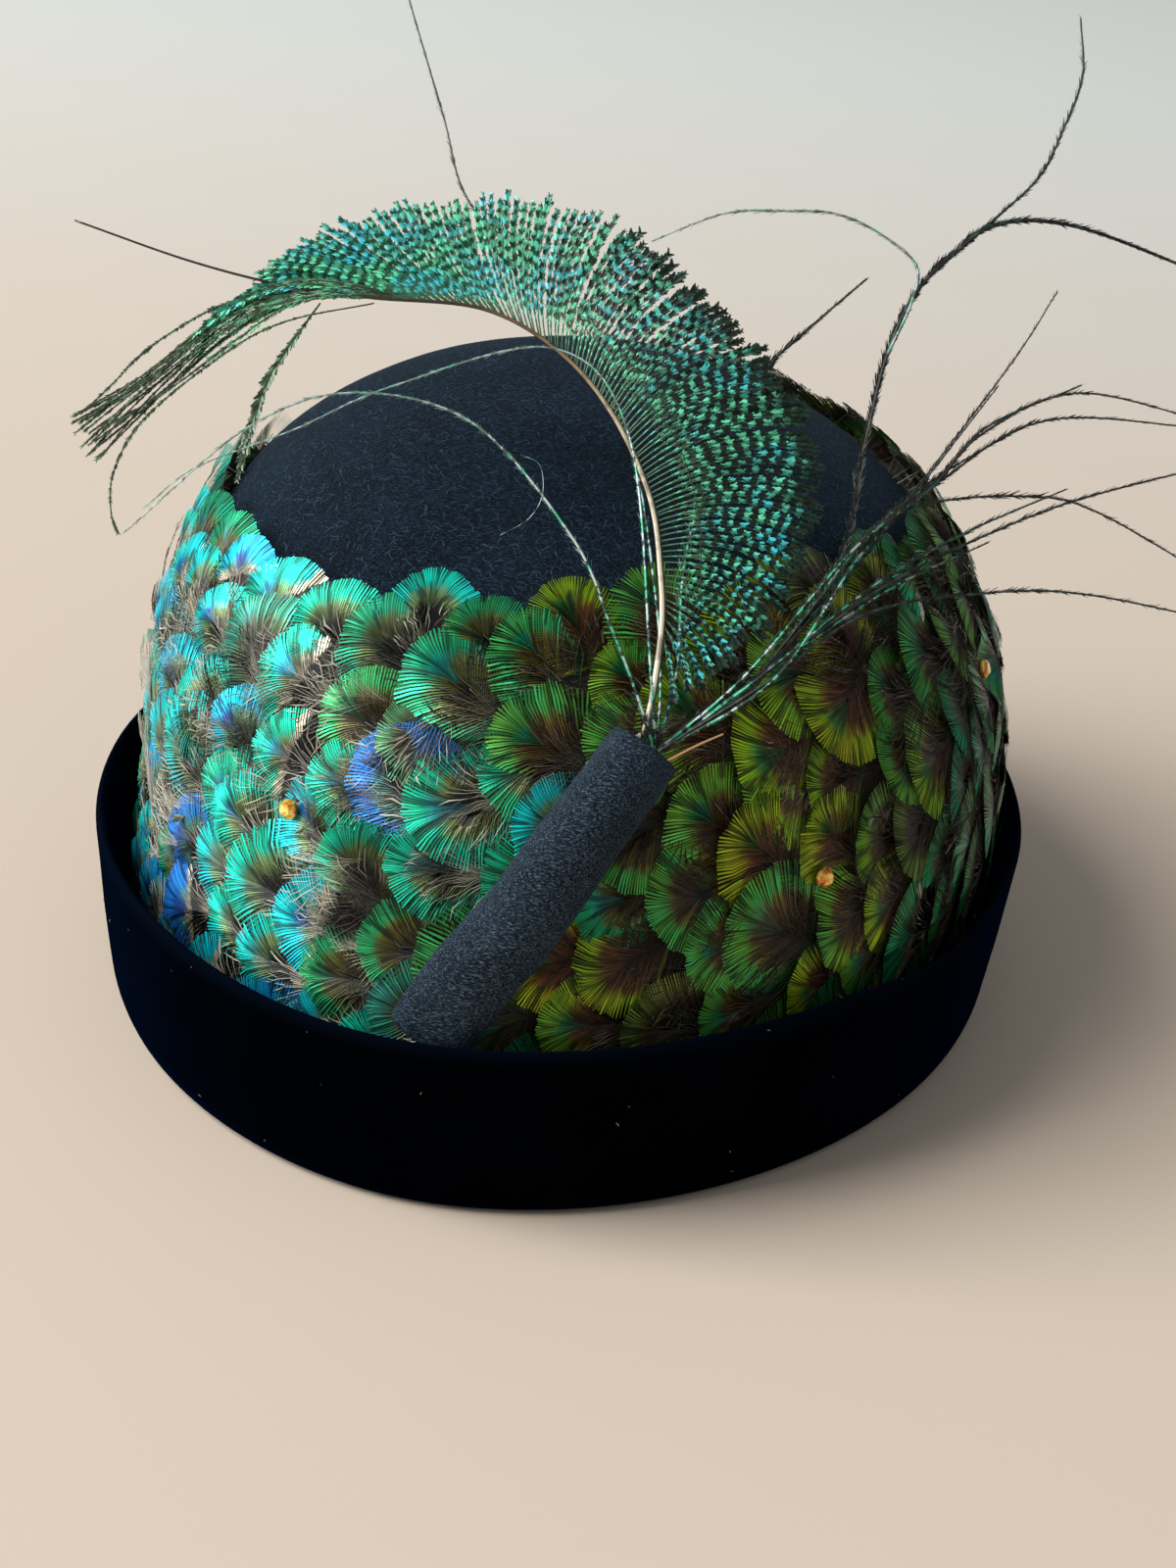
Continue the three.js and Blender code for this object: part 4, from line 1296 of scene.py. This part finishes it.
def lockStrands():
    k = lockShape
    chance = Random(k["seed"])
    strands = []
    for i in range(k["strands"]):
        pick = chance.uniform(0, len(tipLocks) - 1.01)
        low = int(pick)
        share = pick - low
        stops = []
        for step, (first, second) in enumerate(zip(tipLocks[low], tipLocks[low + 1])):
            loose = step * k["loose"]
            stops.append(inPlume(*[a + (b - a) * share + chance.uniform(-loose, loose)
                                   for a, b in zip((*first, 0), (*second, 0))]))
        strands.append({"line": smoothLine(stops, k["steps"]), "facing": plumeFacing,
                        "tint": chance.random(), "stems": k["stems"], "sizes": k["sizes"]})
    for stops, tint, stems, sizes in loneHerls.values():
        line = smoothLine([inPlume(*stop) for stop in stops], k["steps"])
        strands.append({"line": line, "facing": plumeFacing, "tint": tint, "stems": stems,
                        "sizes": sizes, "share": 3.0, "flares": [(0, 1.5)]})
    return strands


herlColours = {
    "dark": ("#010a05", "#0a3a26"), "lockDark": ("#26341f", "#7a9a76"), "stalk": "#7fb487",
    "left": "#05603c", "bright": ("#7cffc8", "#50ecff"), "lockBright": ("#3fae6c", "#a4c860"),
}


def herlLook(tree):
    h = herlColours
    along, tint, luck, share, side = tree.attributes("along", "tint", "luck", "share", "side")
    where = tree.where()
    drift = tree.noise(where, 110.0, 2.0) - 0.5
    left = tree.step(share, 0.45, 0.7)  # the vane's far end keeps its painted highlights out to its edge, on a greener ground
    lock = tree.step(share, 1.4, 1.6)  # the locks at the tip
    lone = tree.step(share, 2.4, 2.6)  # the single herls beside them
    # The dashes and their patches are painted highlights where the barbules catch the light, over each
    # herl's own dark green.
    dash = tree.maths("SINE", (along + tree.attribute("blade") * 0.055) * 70 + tint * 5 + drift * 9)
    fade = left * 0.3 - lock * 0.6
    inside = tree.step(along, 0.05, 0.16) * (1 - tree.step(along, 0.78 + fade, 0.94 + fade * 0.8))
    pulse = dash * (1 - left * 0.35) + (luck - 0.5) * 0.9 + left * 0.25 - lock * 0.1
    lit = tree.step(pulse, -0.05, 0.3) * inside * (1 - lone * 0.8)
    spark = tree.step(tree.noise(where, 240.0, 1.0), 0.36, 0.54)
    lit = lit * (0.55 + left * 0.45 + spark * (0.45 - left * 0.45))
    lit = lit * (0.65 + side * 0.35)  # the far row of barbules turns away and stays dark
    stalk = (1 - tree.step(along, 0.15, 0.4)) * 0.45 * (1 - lock)
    dark = [tree.mix(lock, paint(a), paint(b)) for a, b in zip(h["dark"], h["lockDark"])]
    green = tree.mix(stalk, tree.mix(luck, *dark), paint(h["stalk"]))
    green = tree.mix(left * (1 - lock) * 0.65, green, paint(h["left"]))
    blue = tree.step(drift * 1.8 + luck * 0.3 + left * 0.12, 0.1, 0.45)
    bright = tree.mix(blue, *map(paint, h["bright"]))
    bright = tree.mix(lock * 0.65, bright, tree.mix(luck, *map(paint, h["lockBright"])))
    return tree.surface({
        "Base Color": tree.mix(lit, green, bright), "Metallic": 0.1, "Roughness": 0.45 - lit * 0.15,
        "Specular IOR Level": 0.5})


def makePlume():
    makeQuill()
    look = finish("plume herls", herlLook)
    vane = strandCarrier("vane_lines", vaneStrands() + lockStrands())
    made = grow("plume_vane", vane, strandTree, {**vaneShape["barbules"], "Material": look})
    settle(made, "plume_feather", "curled_plume")
    bpy.data.objects.remove(vane)


makePlume()


# Loose herls, named by where they go: across, up and forward at each stop.
looseRoutes = {
    "highRight": [(18, 13, 3), (38, 37, 0), (53, 50, -5), (63, 61, -6), (81, 69, -6), (107, 63, -6)],
    "midRight": [(19, 12, 1), (40, 38, -3), (55, 52, -7), (76, 65, -10), (108, 64, -12)],
    "straight": [(19, 12, 2), (38, 34, -2), (68, 74, -10), (79, 91, -12)],
    "tall": [(20, 12, 0), (36, 36, -4), (42, 61, -12), (47, 80, -16), (53, 93, -18), (61, 102, -20),
             (70, 108, -20), (86, 108, -22), (111, 99, -24)],
    "tallTip": [(61, 102, -20), (70, 110, -20), (78, 118, -20), (83, 128, -20), (87, 139, -20),
                (87, 151, -20)],
    "arch": [(47, 80, -16), (52, 91, -17), (53, 99, -18), (45, 106, -18), (37, 109, -17), (28, 109, -16),
             (16, 108, -15), (2, 102, -14)],
    "lowRight": [(21, 13, 3), (43, 30, -1), (62, 41, -6), (81, 49, -8), (107, 56, -8)],
    "droopRight": [(23, 12, 4), (40, 37, -1), (52, 47, -5), (72, 49, -6), (84, 46, -6), (104, 34, -6)],
    "lowest": [(21, 11, 4), (40, 25, 0), (62, 30, -4), (80, 30, -4), (105, 25, -4)],
    "behind": [(6, 15, -3), (8, 38, -7), (16, 66, -15), (25, 79, -18), (34, 87.5, -18), (43.6, 96, -18)],
    "upright": [(3, 12, -3), (2, 31, -4), (-3, 60, -6), (-18, 89, -7), (-33, 107, -7), (-38, 124, -7),
                (-45, 148, -6)],
    "overFelt": [(-1, 8, 4), (-6, 21, 6), (-13, 37, 8), (-31, 58, 9), (-53, 64, 8), (-72, 58, 6),
                 (-94, 39, 4)],
    "underTip": [(1, 14, 4), (-3, 58, 4), (-17, 74, 4), (-46, 67, 3), (-64, 59, 2), (-82, 52, 1),
                 (-91, 45, 0)],
    "curl": [(-22.5, 52.5, 8), (-19, 50.5, 8), (-18.5, 45, 8), (-21, 40.5, 8), (-26, 37.5, 8)],
    "stick": [(3.5, -3, 3.5), (9, 0, 3.2), (14, 2.3, 3)],
}
looseShape = {
    "branches": ("tallTip", "arch", "curl", "stick"),  # these don't start in the sleeve
    "pale": {"overFelt": 0.75, "underTip": 0.9, "arch": 0.7, "upright": 0.45, "curl": 0.95, "stick": 2.0},
    "bare": {"curl": 0.06, "stick": 0.36},
    "thin": {"overFelt": 0.22, "underTip": 0.18, "arch": 0.22, "straight": 0.2, "upright": 0.2,
             "behind": 0.42, "tall": 0.36},
    "copies": {"lowRight": 2, "midRight": 3, "highRight": 3, "straight": 1, "tall": 1},
    "apart": 3.5, "tallApart": 0.6, "offset": 1.9, "offsetJitter": 0.8, "root": 0.34, "usual": 0.27,
    "steps": 110, "seed": 5,
    "barbules": {"Pitch": 0.3 * mm, "Blade": 1.7 * mm, "Blade width": 0.16 * mm, "Angle": radians(15),
                 "Far side": 0.7, "Scatter": 0.16, "Seed": 51},
    "fluff": {"count": 26, "steps": 12, "tint": 0.05, "stems": [(0, 0.05), (1, 0.02)],
              "sizes": [(0, 0.4), (1, 0.7)]},
}
looseColours = {
    "dark": "#0c0d0a", "pale": "#70837a", "brown": "#2a2418", "green": "#0a3a26", "straw": "#b08a58",
    "glints": ("#5cdcb0", "#d8f2f0"),
}


def looseLook(tree):
    c = looseColours
    tint, side = tree.attributes("tint", "side")
    where = tree.where()
    drift = tree.noise(where, 140.0, 2.0) - 0.5
    stem = 1 - tree.maths("ABSOLUTE", side)
    away = tree.vector("DISTANCE", where, tuple(mouth), out="Value")
    near = 1 - tree.step(away, 34 * mm, 84 * mm)  # greener beside the sleeve
    pale = tree.step(tint, 0.4, 0.8) * (0.25 + 0.75 * tree.step(away, 18 * mm, 60 * mm))
    straw = tree.step(tint, 1.4, 1.6)
    # Painted glints along the stems, stronger beside the sleeve and on the pale strands; some of them are
    # whiter.
    glint = tree.step(tree.noise(where, 620.0, 3.0) + near * 0.05 + pale * 0.04 + stem * 0.03, 0.53, 0.6)
    glint = glint * (0.06 + near * tree.step(tint, 0.14, 0.22) * 0.7 + pale * 0.6)
    glint = glint * (0.3 + stem * 0.7) * (1 - straw)
    body = tree.mix(pale, paint(c["dark"]), paint(c["pale"]))
    body = tree.mix(tree.step(drift, 0.0, 0.2) * (1 - pale * 0.7), body, paint(c["brown"]))
    body = tree.mix(near * tree.step(tint, 0.1, 0.2) * 0.5, body, paint(c["green"]))
    body = tree.mix(straw, body, paint(c["straw"]))
    whiterGlint = tree.step(tree.noise(where, 330.0, 1.0) + pale * 0.1, 0.5, 0.58)
    bright = tree.mix(whiterGlint, *map(paint, c["glints"]))
    return tree.surface({
        "Base Color": tree.mix(glint * 0.85, body, bright), "Metallic": 0.1 + glint * 0.4,
        "Roughness": 0.45, "Specular IOR Level": 0.5})


def looseStrand(name, route, copy, chance):
    c = looseShape
    apart = 0 if copy == 0 else c["tallApart"] if name == "tall" else c["apart"]
    drift = Vector((chance.uniform(-1, 1), chance.uniform(-1, 1), chance.uniform(-1, 1))) * apart
    last = len(route) - 1
    cut = last + 1 if name == "tall" else last + 1 - copy  # the copies are broken short
    stops = [inPlume(*(Vector(stop) + drift * (i / last) ** 0.8)) for i, stop in enumerate(route[:cut])]
    if name not in c["branches"]:
        jitter = c["offsetJitter"]
        offset = c["offset"] + (chance.uniform(-jitter, jitter) if copy else 0)
        stops = [inSleeve(6, offset), inSleeve(0, offset), *stops]
    bare = c["bare"].get(name)
    thin = c["thin"].get(name, c["usual"])
    return {
        "line": smoothLine(stops, c["steps"]), "facing": plumeFacing + Vector((0, 0, 0.3)),
        "tint": c["pale"].get(name, chance.uniform(0.0, 0.3)),
        "stems": [(0, bare), (1, bare * 0.6)] if bare else [(0, c["root"]), (0.4, thin), (1, thin * 0.6)],
        "sizes": [(0, 0)] if bare else [(0, 0.6), (0.3, thin * 4.2), (0.75, thin * 4), (1, 0.5)],
    }


def looseStrands():
    c = looseShape
    chance = Random(c["seed"])
    strands = [looseStrand(name, route, copy, chance) for name, route in looseRoutes.items()
               for copy in range(c["copies"].get(name, 0) + 1)]
    fluff = c["fluff"]
    for i in range(fluff["count"]):  # where they leave the sleeve
        stops = [inSleeve(2, chance.uniform(-4, 4))]
        way = Vector((chance.gauss(1, 4), chance.uniform(3, 9), chance.uniform(0, 4)))
        for share in (0.35, 0.7, 1):
            stops.append(inPlume(*(way * share + Vector((chance.gauss(0, 0.6), 0, 0)))))
        strands.append({"line": smoothLine(stops, fluff["steps"]), "facing": plumeFacing,
                        "tint": fluff["tint"], "stems": fluff["stems"], "sizes": fluff["sizes"]})
    return strands


def makeLoose():
    look = finish("loose herls", looseLook)
    lines = strandCarrier("loose_lines", looseStrands())
    made = grow("loose_herls", lines, strandTree, {**looseShape["barbules"], "Material": look})
    settle(made, "herl_feather", "herl_spray")
    bpy.data.objects.remove(lines)


makeLoose()


# Stones

amberTones = [(0.36, paint("#cc6e0c")), (0.48, paint("#fab020")), (0.58, paint("#ffe680"))]


def amber(tree):
    colour = tree.ramp(tree.noise(tree.where(), 700.0, 1.0), amberTones)
    return tree.surface({
        "Base Color": colour, "Metallic": 0.55, "Roughness": 0.08, "Coat Weight": 1.0,
        "Coat Roughness": 0.02})


amberLook = finish("amber glass", amber)
for name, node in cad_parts.items():
    if name.startswith("stone_"):
        node.data.materials.clear()
        node.data.materials.append(amberLook)


# Floor, light and camera

studio = {
    "floor": "#d7c6b4", "floorCloud": "#cfc4b8", "far": "#dfe2dd",
    "farFrom": 0.05, "farTo": 1.1, "reach": 4.0,
    "world": "#dfe3e8", "worldStrength": 0.35, "aim": (0, 0, 0.07),
}
lamps = {
    "key": {"place": (-2.6, -1.2, 3.1), "size": 2.6, "power": 190.0, "colour": (1.0, 0.98, 0.95)},
    "side": {"place": (-2.6, -0.9, 0.8), "size": 1.4, "power": 30.0, "colour": (0.93, 0.98, 1.0)},
    "fill": {"place": (2.2, -1.6, 2.4), "size": 2.5, "power": 4.0, "colour": (1.0, 0.95, 0.9)},
}
cameraShape = {"place": (122.5, -472.6, 289.8), "azimuth": 13.68, "elevation": 27.35, "roll": 3.78,
               "sensor": 36.0, "focal": 2527, "longSide": 1600}  # the last two in pixels


def floorLook(tree):
    where = tree.where()
    cloud = tree.noise(where, 6.0, 3.0)
    away = tree.step(tree.parts(where, "Y"), studio["farFrom"], studio["farTo"])
    near = tree.mix(cloud * 0.25, paint(studio["floor"]), paint(studio["floorCloud"]))
    return tree.surface({"Base Color": tree.mix(away, near, paint(studio["far"])), "Roughness": 0.8})


def makeFloor():
    wide = studio["reach"]
    mesh = bpy.data.meshes.new("floor")
    corners = [(-wide, -wide, 0), (wide, -wide, 0), (wide, wide, 0), (-wide, wide, 0)]
    mesh.from_pydata(corners, [], [(0, 1, 2, 3)])
    mesh.materials.append(finish("pale floor", floorLook))
    linked("floor", mesh)


def makeLight():
    world = bpy.data.worlds.new("studio")
    world.use_nodes = True
    sky = Tree(world.node_tree)
    light = sky.node("ShaderNodeBackground", {}, {
        "Color": paint(studio["world"]), "Strength": studio["worldStrength"]})
    sky.node("ShaderNodeOutputWorld", {}, {"Surface": light})
    bpy.context.scene.world = world
    for name, row in lamps.items():
        lamp = bpy.data.lights.new(name, "AREA")
        lamp.size = row["size"]
        lamp.energy = row["power"]
        lamp.color = row["colour"]
        made = linked(name, lamp)
        made.location = row["place"]
        way = Vector(studio["aim"]) - Vector(row["place"])
        made.rotation_euler = way.to_track_quat("-Z", "Y").to_euler()


def makeCamera():
    c = cameraShape
    lens = bpy.data.cameras.new("camera")
    lens.sensor_width = c["sensor"]
    lens.lens = c["sensor"] * c["focal"] / c["longSide"]
    made = linked("camera", lens)
    made.location = fromHat(*c["place"])
    made.rotation_euler = (Matrix.Rotation(radians(c["azimuth"]), 3, "Z")
                           @ Matrix.Rotation(radians(90 - c["elevation"]), 3, "X")
                           @ Matrix.Rotation(radians(c["roll"]), 3, "Z")).to_euler()
    bpy.context.scene.camera = made
    bpy.context.scene.view_settings.view_transform = "Standard"
    print("floor, light and camera")


makeFloor()
makeLight()
makeCamera()
